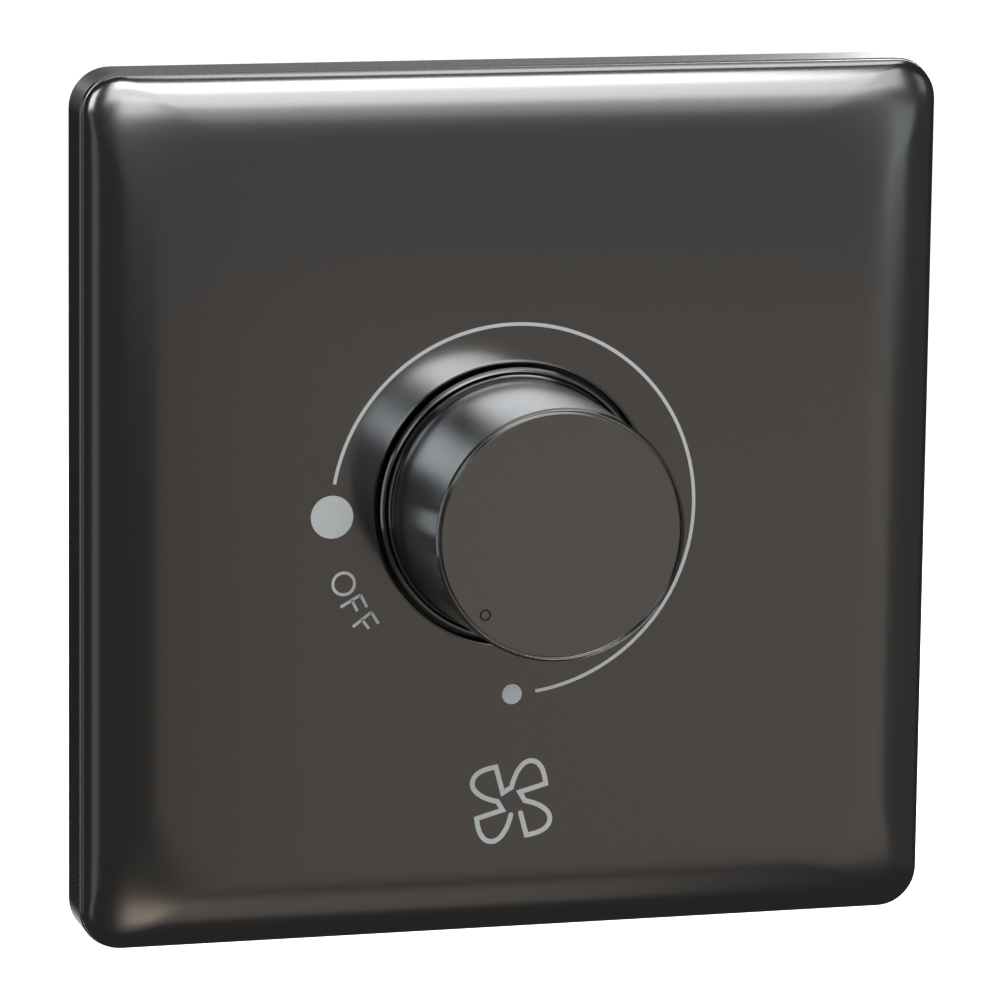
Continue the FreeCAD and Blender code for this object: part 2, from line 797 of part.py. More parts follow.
def circuit_board():
    """Board clamped between the pillars and the screw bosses."""
    half_w = inner_half_w - loose
    half_h = inner_half_h - loose
    board = rounded_block(half_w, half_h, housing_corner / 2, y_board, y_board_back)
    holes = [(x, z, leg_half, leg_half) for x, z in leg_places()]
    holes += [(x, clamp_middle(), clamp_pin_half, clamp_pin_half) for x in terminal_places()]
    holes += [(side * pin_pitch, 0.0, pin_width / 2, pin_width / 2) for side in (-1, 1)]
    pin_z = pot_pin_middle()
    leg_x, leg_z = triac_center_x(), triac_leg_bottom() + triac_leg_thickness / 2
    for step in (-1, 0, 1):
        holes.append((step * pin_pitch, pin_z, pin_width / 2, pin_width / 4))
        holes.append((leg_x + step * triac_leg_pitch, leg_z, triac_leg_width / 2, triac_leg_thickness / 2))
    cuts = []
    for x, z in housing_screw_places():
        cuts.append(rod_y(screw_hole_radius, y_board - 1, y_board_back + 1, x, z))
    for x, z, half_x, half_z in holes:
        cuts.append(bar_y(half_x + snug, half_z + snug, y_board - 1, y_board_back + 1, x, z))
    return board.cut(cuts)


def capacitor_place():
    return -(pot_radius + part_gap + capacitor_width / 2), 0.0


def choke_place():
    return 0.0, pot_radius + part_gap + choke_radius


def small_capacitor_place():
    x = choke_radius + loose + small_capacitor_length / 2
    z = pot_radius + part_gap + small_capacitor_width / 2
    return x, z


def resistor_places():
    """Middles of the small resistors, in a row beside the choke and above the large capacitor."""
    x = -(choke_radius + part_gap + resistor_radius)
    z = capacitor_length / 2 + 2 * part_gap + resistor_length / 2 + 2 * leg_half
    return [(x - index * (2 * resistor_radius + part_gap), z) for index in range(resistor_count)]


def leg_places():
    """Every square leg that goes through the board."""
    places = []
    x, z = capacitor_place()
    places += [(x, z - capacitor_leg_pitch / 2), (x, z + capacitor_leg_pitch / 2)]
    x, z = small_capacitor_place()
    reach = small_capacitor_leg_pitch / 2
    places += [(x - reach, z), (x + reach, z)]
    x, z = choke_place()
    reach = choke_leg_half_pitch
    places += [(x - reach, z - reach), (x + reach, z - reach)]
    reach = power_resistor_length / 2 + part_gap
    places += [(-reach, power_resistor_z()), (reach, power_resistor_z())]
    reach = resistor_length / 2 + part_gap
    for x, z in resistor_places():
        places += [(x, z - reach), (x, z + reach)]
    reach = diac_length / 2 + part_gap
    x, z = diac_place()
    places += [(x, z - reach), (x, z + reach)]
    return places


def power_resistor_z():
    return -(pot_radius + pin_length + pin_width + part_gap + power_resistor_radius)


def diac_place():
    """Beside the terminals, which stand on the other side of the board."""
    return -(terminal_half_w + part_gap), -(capacitor_length / 2 + 2 * part_gap + diac_length / 2)


def boxed_capacitor(half_x, half_z, height, x, z, leg_reach_x, leg_reach_z):
    """A boxed film capacitor on the board with its two legs."""
    body = bar_y(half_x, half_z, y_board - height, y_board, x, z)
    upright = [e for e in body.Edges if e.BoundBox.YLength > height / 2]
    body = body.makeChamfer(capacitor_edge, upright)
    legs = [leg(x + s * leg_reach_x, z + s * leg_reach_z) for s in (-1, 1)]
    return joined([body] + legs)


def interference_capacitor():
    x, z = capacitor_place()
    half_x, half_z = capacitor_width / 2, capacitor_length / 2
    return boxed_capacitor(half_x, half_z, capacitor_height, x, z, 0, capacitor_leg_pitch / 2)


def timing_capacitor():
    x, z = small_capacitor_place()
    half_x, half_z = small_capacitor_length / 2, small_capacitor_width / 2
    return boxed_capacitor(half_x, half_z, small_capacitor_height, x, z, small_capacitor_leg_pitch / 2, 0)


def choke_core():
    """Iron-powder ring that lies flat on the board inside its winding."""
    x, z = choke_place()
    y0 = y_board - choke_height + choke_coil
    y1 = y_board - choke_coil
    return tube_y(choke_radius - choke_coil, choke_hole_radius + choke_coil, y0, y1, x, z)


def choke_winding():
    """The wire round the core as one sleeve, and its two tails."""
    x, z = choke_place()
    y0 = y_board - choke_height
    sleeve = tube_y(choke_radius, choke_hole_radius, y0, y_board, x, z)
    depth = choke_coil - snug
    cavity = tube_y(choke_radius - depth, choke_hole_radius + depth, y0 + depth, y_board - depth, x, z)
    reach = choke_leg_half_pitch
    tails = [leg(x + s * reach, z - reach, y_board - choke_coil / 2) for s in (-1, 1)]
    return joined([sleeve] + tails).cut(cavity)


def axial_part(radius, length, x, y, z, along):
    """A bead on a wire whose two ends turn back through the board."""
    reach = length / 2 + part_gap
    end = reach + leg_half
    if along == "x":
        bead = rod_x(radius, x - length / 2, x + length / 2, y, z)
        wire = bar_y(end, leg_half, y - leg_half, y + leg_half, x, z)
        legs = [leg(x + s * reach, z, y) for s in (-1, 1)]
    else:
        bead = rod_z(radius, z - length / 2, z + length / 2, x, y)
        wire = bar_y(leg_half, end, y - leg_half, y + leg_half, x, z)
        legs = [leg(x, z + s * reach, y) for s in (-1, 1)]
    return joined([bead, wire] + legs)


def power_resistor():
    y = y_board - power_resistor_radius - part_gap / 2
    return axial_part(power_resistor_radius, power_resistor_length, 0, y, power_resistor_z(), "x")


def resistors():
    y = y_board - resistor_radius - part_gap / 2
    places = resistor_places()
    return group([axial_part(resistor_radius, resistor_length, x, y, z, "z") for x, z in places])


def diac():
    x, z = diac_place()
    y = y_board - diac_radius - part_gap / 2
    return axial_part(diac_radius, diac_length, x, y, z, "z")


def fuse_z():
    return -(inner_half_h - part_gap - fuse_radius - fuse_clip_sheet)


def fuse_tube():
    y = y_board - fuse_height
    reach = fuse_length / 2 - fuse_wall
    tube = rod_x(fuse_radius - fuse_wall, -reach, reach, y, fuse_z())
    return tube.cut(rod_x(fuse_radius - 2 * fuse_wall, -reach - 1, reach + 1, y, fuse_z()))


def fuse_caps():
    y = y_board - fuse_height
    caps = []
    for side in (-1, 1):
        outer = side * fuse_length / 2
        inner = outer - side * fuse_cap_length
        cap = rod_x(fuse_radius, min(outer, inner), max(outer, inner), y, fuse_z())
        floor = outer - side * fuse_wall
        mouth = inner - side
        seat_radius = fuse_radius - fuse_wall + fuse_fit
        seat = rod_x(seat_radius, min(floor, mouth), max(floor, mouth), y, fuse_z())
        caps.append(cap.cut(seat))
    return group(caps)


def fuse_clips():
    """Two sprung clips, each a folded strip that grips a cap from the board's side."""
    y = y_board - fuse_height
    z = fuse_z()
    clips = []
    for side in (-1, 1):
        x0 = side * (fuse_length - fuse_cap_length) / 2 - fuse_clip_width / 2
        x1 = x0 + fuse_clip_width
        outer = rod_x(fuse_radius + snug / 2 + fuse_clip_sheet, x0, x1, y, z)
        inner = rod_x(fuse_radius + snug / 2, x0 - 1, x1 + 1, y, z)
        reach = 2 * fuse_radius
        mouth = block(x0 - 1, x1 + 1, y - reach, y - fuse_radius / 2, z - reach, z + reach)
        half = fuse_clip_sheet
        stem = block(x0, x1, y + fuse_radius + snug, y_board, z - half, z + half)
        clips.append(joined([outer, stem]).cut([inner, mouth]))
    return group(clips)


def clamp_middle():
    return -housing_half_h + terminal_bore_length + clamp_length / 2 + snug


def terminal_block():
    """Moulded block: wire bores from below, clamp chambers and screw shafts from behind."""
    bottom = -housing_half_h
    body = block(-terminal_half_w, terminal_half_w, y_board_back, housing_back, bottom, terminal_top)
    cuts = []
    for x in terminal_places():
        cuts.append(rod_z(terminal_bore_radius, bottom - 1, clamp_middle(), x, terminal_y))
        half = clamp_width / 2 + snug
        z0 = clamp_middle() - clamp_length / 2 - snug
        z1 = clamp_middle() + clamp_length / 2 + snug
        cuts.append(block(x - half, x + half, terminal_y - half, terminal_y + half, z0, z1))
        cuts.append(rod_y(terminal_access_radius, terminal_y, housing_back + 1, x, clamp_middle()))
        pin_half = clamp_pin_half + snug
        cuts.append(bar_y(pin_half, pin_half, y_board_back - 1, terminal_y, x, clamp_middle()))
    for x in terminal_places()[1:]:
        left = x - terminal_pitch / 2 - terminal_groove / 2
        right = left + terminal_groove
        floor = housing_back - terminal_groove
        cuts.append(block(left, right, floor, housing_back + 1, bottom - 1, terminal_top + 1))
    return body.cut(cuts)


def terminal_clamps():
    """Brass cages with a square wire hole, a tapped roof and a solder pin."""
    clamps = []
    half = clamp_width / 2
    hole = half - clamp_wall
    for x in terminal_places():
        z0 = clamp_middle() - clamp_length / 2
        z1 = clamp_middle() + clamp_length / 2
        cage = block(x - half, x + half, terminal_y - half, terminal_y + half, z0, z1)
        cage = cage.cut(block(x - hole, x + hole, terminal_y - hole, terminal_y + hole, z0 - 1, z1 + 1))
        pin_start = y_board - leg_below_board
        pin = bar_y(clamp_pin_half, clamp_pin_half, pin_start, terminal_y - hole, x, clamp_middle())
        thread = terminal_screw_radius + pilot_clearance
        tapped = rod_y(thread, terminal_y, terminal_y + half + 1, x, clamp_middle())
        clamps.append(joined([cage, pin]).cut(tapped))
    return group(clamps)


def terminal_screws():
    screws = []
    head_back = housing_back - terminal_head_sink
    head_front = head_back - terminal_head_thickness
    tip = terminal_y + clamp_width / 2 - clamp_wall
    for x in terminal_places():
        z = clamp_middle()
        head = rod_y(terminal_access_radius - loose, head_front, head_back, x, z)
        shank = rod_y(terminal_screw_radius, tip, head_front, x, z)
        slot_floor = head_back - driver_slot_depth
        slot = bar_y(terminal_access_radius, driver_slot / 2, slot_floor, head_back + 1, x, z)
        screws.append(joined([head, shank]).cut(slot))
    return group(screws)


def cylinder_head_screw(x, z, seat, toward, length):
    """A screw along Y whose head lies on the seat; toward is the way the tip points."""
    head_end = seat - toward * screw_head_thickness
    tip = seat + toward * length
    head = rod_y(screw_head_radius, min(seat, head_end), max(seat, head_end), x, z)
    shank = rod_y(screw_radius, min(seat, tip), max(seat, tip), x, z)
    return joined([head, shank])


def frame_screws():
    places = frame_screw_places()
    return group([cylinder_head_screw(x, z, -web_height, 1, frame_screw_length) for x, z in places])


def housing_screws():
    seat = housing_back - screw_head_thickness
    places = housing_screw_places()
    return group([cylinder_head_screw(x, z, seat, -1, housing_screw_length) for x, z in places])


nodes = {
    "cover_plate": cover_plate,
    "mounting_frame": mounting_frame,
    "bezel_ring": bezel_ring,
    "knob": knob,
    "knob_cap": knob_cap,
    "knob_clip": knob_clip,
    "front_housing": front_housing,
    "rear_housing": rear_housing,
    "heat_sink": heat_sink,
    "triac_pad": triac_pad,
    "triac_tab": triac_tab,
    "triac_body": triac_body,
    "triac_legs": triac_legs,
    "triac_screw": triac_screw,
    "pot_case": pot_case,
    "pot_bush": pot_bush,
    "pot_shaft": pot_shaft,
    "pot_wiper": pot_wiper,
    "pot_wafer": pot_wafer,
    "pot_pins": pot_pins,
    "pot_washer": pot_washer,
    "pot_nut": pot_nut,
    "switch_case": switch_case,
    "switch_pins": switch_pins,
    "circuit_board": circuit_board,
    "interference_capacitor": interference_capacitor,
    "timing_capacitor": timing_capacitor,
    "choke_core": choke_core,
    "choke_winding": choke_winding,
    "power_resistor": power_resistor,
    "resistors": resistors,
    "diac": diac,
    "fuse_tube": fuse_tube,
    "fuse_caps": fuse_caps,
    "fuse_clips": fuse_clips,
    "terminal_block": terminal_block,
    "terminal_clamps": terminal_clamps,
    "terminal_screws": terminal_screws,
    "frame_screws": frame_screws,
    "housing_screws": housing_screws,
}

for name, build in nodes.items():
    shape = build()
    shape.exportStep("parts/" + name + ".step")
    print(name, len(shape.Solids), round(shape.Volume, 2), shape.isValid())
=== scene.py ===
import json
import math
import bmesh
import bpy
from mathutils import Matrix, Vector


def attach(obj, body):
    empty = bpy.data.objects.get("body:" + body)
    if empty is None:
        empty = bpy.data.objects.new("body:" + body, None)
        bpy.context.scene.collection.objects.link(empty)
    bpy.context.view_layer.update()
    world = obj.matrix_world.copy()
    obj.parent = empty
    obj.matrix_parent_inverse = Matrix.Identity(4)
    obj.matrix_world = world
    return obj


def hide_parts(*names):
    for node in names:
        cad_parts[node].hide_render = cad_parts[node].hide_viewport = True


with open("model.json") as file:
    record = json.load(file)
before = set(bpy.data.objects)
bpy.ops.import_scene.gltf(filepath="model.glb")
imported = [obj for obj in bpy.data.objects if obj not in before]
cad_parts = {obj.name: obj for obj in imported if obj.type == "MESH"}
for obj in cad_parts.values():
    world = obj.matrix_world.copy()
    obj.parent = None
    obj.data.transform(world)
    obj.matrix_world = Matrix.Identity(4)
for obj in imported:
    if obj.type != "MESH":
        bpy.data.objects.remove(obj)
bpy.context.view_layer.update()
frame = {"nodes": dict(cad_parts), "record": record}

# Sizes are millimetres until MM turns them into metres. The wall is the plane Y = 0,
# the front faces -Y, +Z is up, and a height is counted forward from the wall.
MM = 0.001
FIXED = "base"
TURNING = "control_knob"

# Plate
plate_side = 87.0
plate_corner = 4.0
cover_inset = 0.1
seam_height = 5.7
edge_height = 5.9
cover_height = 7.05
cover_wall = 1.6
pillow_width = 7.5
pillow_corner = 9.0
pillow_levels = 28
pillow_bias = 1.15
plateau_margin = 1.0
skirt_half = 41.8
skirt_wall = 1.2
skirt_end = 3.0
cover_hole_radius = 14.17
hole_edge = 0.12
latch_width = 8.0
latch_offset = 22.0
latch_z = 38.2
latch_thickness = 1.2
latch_end = 0.05
latch_barb = 0.7
barb_height = 0.75
barb_root = 0.2
barb_side = 0.02

# Bezel ring, knob and its cap
bezel_outer_radius = 13.77
bezel_inner_radius = 13.25
bezel_bottom = 4.0
bezel_height = 7.6
bezel_chamfer = 0.2
bezel_rounding = 0.05
bezel_lip_rounding = 0.03
axis_radius = 0.001
knob_foot_radius = 13.05
knob_foot_bottom = 6.6
knob_foot_top = 7.9
knob_foot_rounding = 0.15
knob_foot_land = 0.3
knob_flare_top = 8.6
knob_flare_radius = 12.77
sweep_drop = 0.2
sweep_rise = 1.0
sweep_fade = 0.14
knob_rim_radius = 12.48
knob_rim_bevel = 0.2
knob_rim_rounding = 0.1
knob_height = 24.1
knob_wall = 1.5
plain_rim = 0.21
plain_foot = 0.12
cap_radius = 11.98
cap_groove = 0.22
cap_groove_rounding = 0.03
cap_play = 0.05
cap_rounding = 0.06
cap_flat_inset = 0.25
cap_floor = 23.2
cap_step_height = 23.7
hub_radius = 5.0
hub_bottom = 9.6
hub_bore_radius = 3.05
rib_width = 1.2
rib_depth = 5.0
rib_overlap = 0.5
mark_place_radius = 10.64
mark_angle = 225.0
mark_radius = 0.58
mark_groove = 0.18
mark_depth = 0.2

# Behind the plate. The housing's back and the board's two faces are depths behind the wall.
web_height = 2.8
housing_back = 30.0
screw_x = 17.2
screw_z = 23.2
housing_screw_sink = 1.8
terminal_x = (-8.5, 0.0, 8.5)
terminal_screw_z = -20.35
terminal_screw_sink = 2.6
board_front = 16.2
board_back = 17.8
choke_place = (0.0, 17.3)
winding_turns = 12
winding_start = 225
winding_end = -45
winding_inner_radius = 2.2
winding_outer_radius = 8.0
winding_height = 8.0
winding_tail = 5.9
wire_radius = 0.5
tail_radius = 0.3
tail_tip_radius = 0.18
tail_offset = 4.0
tail_reach = 0.9
tail_end = 1.0

# A screw's head radius, head thickness, shank radius, length and thread pitch
frame_screw = (2.6, 1.8, 1.25, 9.0, 0.9)
housing_screw = (2.6, 1.8, 1.25, 19.0, 0.9)
terminal_screw = (2.2, 1.4, 1.5, 2.9, 0.5)
screw_seed = 11

# A driver recess's width, length and depth, and the share of its width left at the bottom
cross_recess = (1.05, 3.3, 1.3, 0.5)
slot_recess = (0.6, 5.0, 0.7, 1.0)

# Print on the plate
ink_thickness = 0.03
ink_sink = 0.005
dial_centre = (0.0, -0.58)
dial_radius = 18.63
dial_line = 0.35
dial_start = 170.0
dial_end = -82.5
large_dot = (-18.57, -0.62)
large_dot_radius = 2.15
small_dot = (0.03, -19.26)
small_dot_radius = 1.02
letter_line = 0.29
letter_o = (-17.34, -7.35)
letter_o_radius = 1.1
letter_strokes = [
    [(-17.64, -9.69), (-15.60, -8.53), (-14.95, -9.80)],
    [(-16.47, -9.04), (-15.93, -10.16)],
    [(-16.39, -11.74), (-14.51, -10.32), (-13.76, -11.50)],
    [(-15.43, -11.02), (-14.73, -11.98)],
]
fan_centre = (0.09, -30.2)
fan_line = 0.5
fan_gap = 0.14

# Sides of round forms, and how near two points are one point
bezel_sides = 160
knob_sides = 192
hub_sides = 48
mark_sides = 48
wire_sides = 12
tail_sides = 16
large_dot_sides = 64
small_dot_sides = 48
same_spot = 0.0005


def fine_object(name, mesh, body, materials, stands_for=()):
    """A finished piece at the origin, on its body and its materials."""
    piece = bpy.data.objects.new(name, mesh)
    bpy.context.scene.collection.objects.link(piece)
    for material in materials:
        mesh.materials.append(material)
    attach(piece, body)
    if stands_for:
        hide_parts(*stands_for)
    return piece


def shaded(mesh, sharp_degrees=32):
    """Smooth shading that stops at real corners."""
    mesh.shade_smooth()
    mesh.set_sharp_from_angle(angle=math.radians(sharp_degrees))
    return mesh


def mesh_from(name, points, faces, sharp_degrees=32):
    """A mesh from points in millimetres, with its doubles merged and its faces turned outwards."""
    work = bmesh.new()
    corners = [work.verts.new((x * MM, y * MM, z * MM)) for x, y, z in points]
    for face in faces:
        if len(set(face)) > 2:
            work.faces.new([corners[index] for index in face])
    bmesh.ops.remove_doubles(work, verts=work.verts, dist=same_spot * MM)
    bmesh.ops.recalc_face_normals(work, faces=work.faces)
    mesh = bpy.data.meshes.new(name)
    work.to_mesh(mesh)
    work.free()
    return shaded(mesh, sharp_degrees)


def joined_points(parts):
    """Several (points, faces) lists as one."""
    points, faces = [], []
    for more_points, more_faces in parts:
        offset = len(points)
        points += more_points
        faces += [[index + offset for index in face] for face in more_faces]
    return points, faces


def rounded_ring(half, corner, height):
    """Points of a rounded square at a height, from the right side's middle and turning upwards."""
    corner_steps, side_steps = 12, 10
    ring = []
    for turn in range(4):
        angle = math.radians(90 * turn)
        ux, uz = math.cos(angle), math.sin(angle)
        reach = half - corner
        for step in range(side_steps):
            along = reach * step / side_steps
            ring.append((half * ux - along * uz, -height, half * uz + along * ux))
        cx, cz = reach * ux - reach * uz, reach * uz + reach * ux
        for step in range(corner_steps + 1):
            bend = angle + math.radians(90 * step / corner_steps)
            ring.append((cx + corner * math.cos(bend), -height, cz + corner * math.sin(bend)))
        for step in range(1, side_steps):
            along = reach * (1 - step / side_steps)
            ring.append((along * ux - half * uz, -height, along * uz + half * ux))
    return ring


def round_ring(radius, height, count, cx=0.0, cz=0.0):
    """Points of a circle at a height."""
    angles = [2 * math.pi * k / count for k in range(count)]
    return [(cx + radius * math.cos(a), -height, cz + radius * math.sin(a)) for a in angles]


def banded(rings, closed=False):
    """Points and faces of a wall that runs through rings with the same number of points."""
    count = len(rings[0])
    points = [point for ring in rings for point in ring]
    faces = []
    last = len(rings) if closed else len(rings) - 1
    for level in range(last):
        low, high = level * count, (level + 1) % len(rings) * count
        for k in range(count):
            after = (k + 1) % count
            faces.append([low + k, low + after, high + after, high + k])
    return points, faces


def capped(rings):
    """A closed solid between its first and last ring."""
    points, faces = banded(rings)
    count = len(rings[0])
    faces.append(list(range(count)))
    faces.append(list(range((len(rings) - 1) * count, len(rings) * count)))
    return points, faces


def eased(corners, steps=5):
    """A closed (radius, height) outline whose corners are rounded: each corner is (r, h, rounding).

    One more point on either side of a rounding keeps the long faces beside it straight in light.
    """
    hold = 0.05
    outline = []
    for index, (r, h, rounding) in enumerate(corners):
        here = Vector((r, h))
        if rounding == 0:
            outline.append((r, h))
            continue
        back = Vector(corners[index - 1][:2]) - here
        ahead = Vector(corners[(index + 1) % len(corners)][:2]) - here
        towards, onwards = back.normalized(), ahead.normalized()
        half_turn = towards.angle(onwards) / 2
        reach = rounding / math.tan(half_turn)
        start, end = here + towards * reach, here + onwards * reach
        centre = here + (towards + onwards).normalized() * (rounding / math.sin(half_turn))
        if reach + hold < back.length / 2:
            outline.append(tuple(start + towards * hold))
        for step in range(steps + 1):
            arm = (start - centre).lerp(end - centre, step / steps).normalized() * rounding
            outline.append(tuple(centre + arm))
        if reach + hold < ahead.length / 2:
            outline.append(tuple(end + onwards * hold))
    return outline


def spun(outline, count):
    """Points and faces of a closed outline turned about the knob's axis."""
    return banded([round_ring(r, h, count) for r, h in outline], closed=True)


def box_part(x0, x1, y0, y1, z0, z1):
    """A box between its two ends on each axis."""
    points = [(x, y, z) for x in (x0, x1) for y in (y0, y1) for z in (z0, z1)]
    faces = [
        [0, 1, 3, 2], [4, 6, 7, 5], [0, 4, 5, 1], [2, 3, 7, 6], [0, 2, 6, 4], [1, 5, 7, 3],
    ]
    return points, faces


def tapered_box(half_x, half_z, top, bottom, share):
    """A box along Y that narrows to a share of its width at the bottom."""
    corners = ((-1, -1), (1, -1), (1, 1), (-1, 1))
    return capped([
        [(sx * half_x * part, y, sz * half_z * part) for sx, sz in corners]
        for y, part in ((top, 1.0), (bottom, share))
    ])


def cut_out(mesh, points, faces):
    """The mesh with a closed form cut out of it."""
    whole = bpy.data.objects.new("whole", mesh)
    cutter = bpy.data.objects.new("cutter", mesh_from("cutter", points, faces))
    for tool in (whole, cutter):
        bpy.context.scene.collection.objects.link(tool)
    cut = whole.modifiers.new("cut", "BOOLEAN")
    cut.object = cutter
    cut.operation = "DIFFERENCE"
    cut.solver = "EXACT"
    graph = bpy.context.evaluated_depsgraph_get()
    result = bpy.data.meshes.new_from_object(whole.evaluated_get(graph))
    whole.modifiers.clear()
    for tool in (whole, cutter):
        bpy.data.objects.remove(tool)
    return result


# Finishes

def material_tree(name):
    """A new material with its tree, its shader and the piece's own coordinates."""
    material = bpy.data.materials.new(name)
    material.use_nodes = True
    tree = material.node_tree
    shader = tree.nodes["Principled BSDF"]
    place = tree.nodes.new("ShaderNodeTexCoord")
    return material, tree, shader, place.outputs["Object"]


def noise(tree, place, size_mm):
    """Noise whose grains are about size_mm across."""
    node = tree.nodes.new("ShaderNodeTexNoise")
    node.inputs["Scale"].default_value = 1 / (size_mm * MM)
    node.inputs["Detail"].default_value = 2.0
    tree.links.new(place, node.inputs["Vector"])
    return node.outputs["Fac"]


def between(tree, factor, low, high):
    """A value that runs from low to high with a noise."""
    usual_low, usual_high = 0.3, 0.7
    node = tree.nodes.new("ShaderNodeMapRange")
    node.inputs["From Min"].default_value = usual_low
    node.inputs["From Max"].default_value = usual_high
    node.inputs["To Min"].default_value = low
    node.inputs["To Max"].default_value = high
    tree.links.new(factor, node.inputs["Value"])
    return node.outputs["Result"]


def tinted(tree, factor, first, second):
    """A colour between two colours."""
    node = tree.nodes.new("ShaderNodeMix")
    node.data_type = "RGBA"
    node.inputs["A"].default_value = (*first, 1)
    node.inputs["B"].default_value = (*second, 1)
    tree.links.new(factor, node.inputs["Factor"])
    return node.outputs["Result"]


def raised(tree, shader, factor, height_mm):
    """Gives a surface a relief of height_mm that follows a noise."""
    node = tree.nodes.new("ShaderNodeBump")
    node.inputs["Distance"].default_value = height_mm * MM
    node.inputs["Strength"].default_value = 1.0
    tree.links.new(factor, node.inputs["Height"])
    tree.links.new(node.outputs["Normal"], shader.inputs["Normal"])


def finish_of(
    name, first, second, grain_mm, rough,
    metallic=0.0, bump_mm=0.0, bump_grain_mm=None, specular=0.5,
):
    """A finish with slight changes of colour and gloss at the size of its grain."""
    material, tree, shader, place = material_tree(name)
    grain = noise(tree, place, grain_mm)
    colour = tinted(tree, between(tree, grain, 0, 1), first, second)
    tree.links.new(colour, shader.inputs["Base Color"])
    tree.links.new(between(tree, grain, *rough), shader.inputs["Roughness"])
    shader.inputs["Metallic"].default_value = metallic
    shader.inputs["Specular IOR Level"].default_value = specular
    if bump_mm:
        raised(tree, shader, noise(tree, place, bump_grain_mm or grain_mm), bump_mm)
    return material


def metal_of(name, first, second, grain_mm, rough, **more):
    """A metal or metallic paint."""
    return finish_of(name, first, second, grain_mm, rough, metallic=1.0, **more)


anthracite = metal_of(
    "anthracite_paint", (0.08, 0.079, 0.078), (0.092, 0.09, 0.089), 0.09, (0.115, 0.145),
)
# Painted highlight: the knob's skirt is the plate's anthracite paint made about five times lighter,
# so that it shows brighter reflections.
skirt_painted_highlight = metal_of(
    "skirt_painted_highlight", (0.385, 0.4, 0.415), (0.425, 0.44, 0.455), 0.09, (0.2, 0.23),
)
cap_paint = metal_of(
    "cap_paint", (0.1, 0.098, 0.095), (0.112, 0.11, 0.107), 0.09, (0.13, 0.16),
)
frame_paint = metal_of(
    "frame_paint", (0.07, 0.069, 0.068), (0.08, 0.079, 0.078), 0.09, (0.24, 0.28),
)
frame_shader = frame_paint.node_tree.nodes["Principled BSDF"]
frame_shader.inputs["Specular Tint"].default_value = (0.4, 0.4, 0.4, 1)
# Painted shade: near-black for the inside of the cap's mark groove.
groove_painted_shade = finish_of(
    "groove_painted_shade", (0.01, 0.01, 0.01), (0.015, 0.015, 0.015), 0.2, (0.6, 0.7), specular=0.2,
)
ink = finish_of("grey_print", (0.29, 0.3, 0.3), (0.33, 0.34, 0.34), 0.15, (0.45, 0.55))
black_plastic = finish_of(
    "black_moulding", (0.018, 0.018, 0.019), (0.028, 0.028, 0.03), 0.6, (0.5, 0.62),
    bump_mm=0.02, bump_grain_mm=0.35,
)
grey_plastic = finish_of(
    "grey_moulding", (0.3, 0.31, 0.32), (0.325, 0.335, 0.345), 0.3, (0.42, 0.48), bump_mm=0.006,
)
zinc = metal_of(
    "zinc_plate", (0.42, 0.425, 0.43), (0.48, 0.48, 0.47), 0.5, (0.25, 0.35), bump_mm=0.0008,
)
spring = metal_of("spring_steel", (0.36, 0.37, 0.39), (0.46, 0.47, 0.49), 0.5, (0.25, 0.35))
aluminium = metal_of("mill_aluminium", (0.66, 0.67, 0.68), (0.78, 0.78, 0.79), 0.9, (0.3, 0.42))
brass = metal_of("turned_brass", (0.66, 0.5, 0.22), (0.76, 0.6, 0.3), 0.6, (0.22, 0.34))
tin = metal_of("tinned_copper", (0.62, 0.61, 0.58), (0.72, 0.71, 0.68), 0.4, (0.25, 0.4))
nickel = metal_of("nickel_plate", (0.6, 0.58, 0.54), (0.7, 0.68, 0.63), 0.5, (0.2, 0.32))
copper = finish_of(
    "enamelled_wire", (0.42, 0.15, 0.05), (0.55, 0.22, 0.08), 0.5, (0.2, 0.3), metallic=0.8,
)
core = finish_of(
    "lacquered_core", (0.62, 0.55, 0.12), (0.7, 0.63, 0.17), 0.6, (0.4, 0.5), bump_mm=0.01,
)
laminate = finish_of("green_laminate", (0.02, 0.14, 0.05), (0.03, 0.18, 0.07), 1.2, (0.3, 0.4))
wafer = finish_of("brown_laminate", (0.2, 0.1, 0.045), (0.28, 0.15, 0.07), 0.9, (0.45, 0.6))
epoxy = finish_of(
    "moulded_epoxy", (0.02, 0.02, 0.021), (0.035, 0.035, 0.036), 0.4, (0.55, 0.7), bump_mm=0.01,
)
film_case = finish_of("yellow_case", (0.62, 0.45, 0.05), (0.7, 0.52, 0.07), 1.5, (0.3, 0.38))
lacquer = finish_of("beige_lacquer", (0.5, 0.4, 0.26), (0.58, 0.47, 0.32), 0.7, (0.3, 0.42))
silicone = finish_of(
    "grey_silicone", (0.38, 0.4, 0.41), (0.44, 0.46, 0.47), 0.5, (0.7, 0.8), bump_mm=0.01,
)
fuse_glass = finish_of("clear_glass", (0.93, 0.95, 0.94), (0.96, 0.97, 0.96), 2.0, (0.02, 0.05))
glass_shader = fuse_glass.node_tree.nodes["Principled BSDF"]
glass_shader.inputs["Transmission Weight"].default_value = 0.95

finish_by_slot = {
    "cover_finish": anthracite,
    "frame_finish": frame_paint,
    "knob_finish": anthracite,
    "black_moulding": black_plastic,
    "terminal_moulding": grey_plastic,
    "zinc_steel": zinc,
    "spring_steel": spring,
    "sheet_aluminium": aluminium,
    "turned_brass": brass,
    "tinned_copper": tin,
    "enamelled_wire": copper,
    "iron_powder": core,
    "board_laminate": laminate,
    "wafer_laminate": wafer,
    "moulded_epoxy": epoxy,
    "capacitor_case": film_case,
    "resistor_body": lacquer,
    "pad_rubber": silicone,
    "fuse_glass": fuse_glass,
    "nickel_brass": nickel,
}


def dress_cad_nodes():
    """Every solid of the frame takes the finish of its slot."""
    for subpart in frame["record"]["subparts"]:
        node = frame["nodes"][subpart["node"]]
        finish = finish_by_slot[subpart["material_slot"]]
        if not node.material_slots:
            node.data.materials.append(finish)
        for place in node.material_slots:
            place.material = finish


# Front pieces

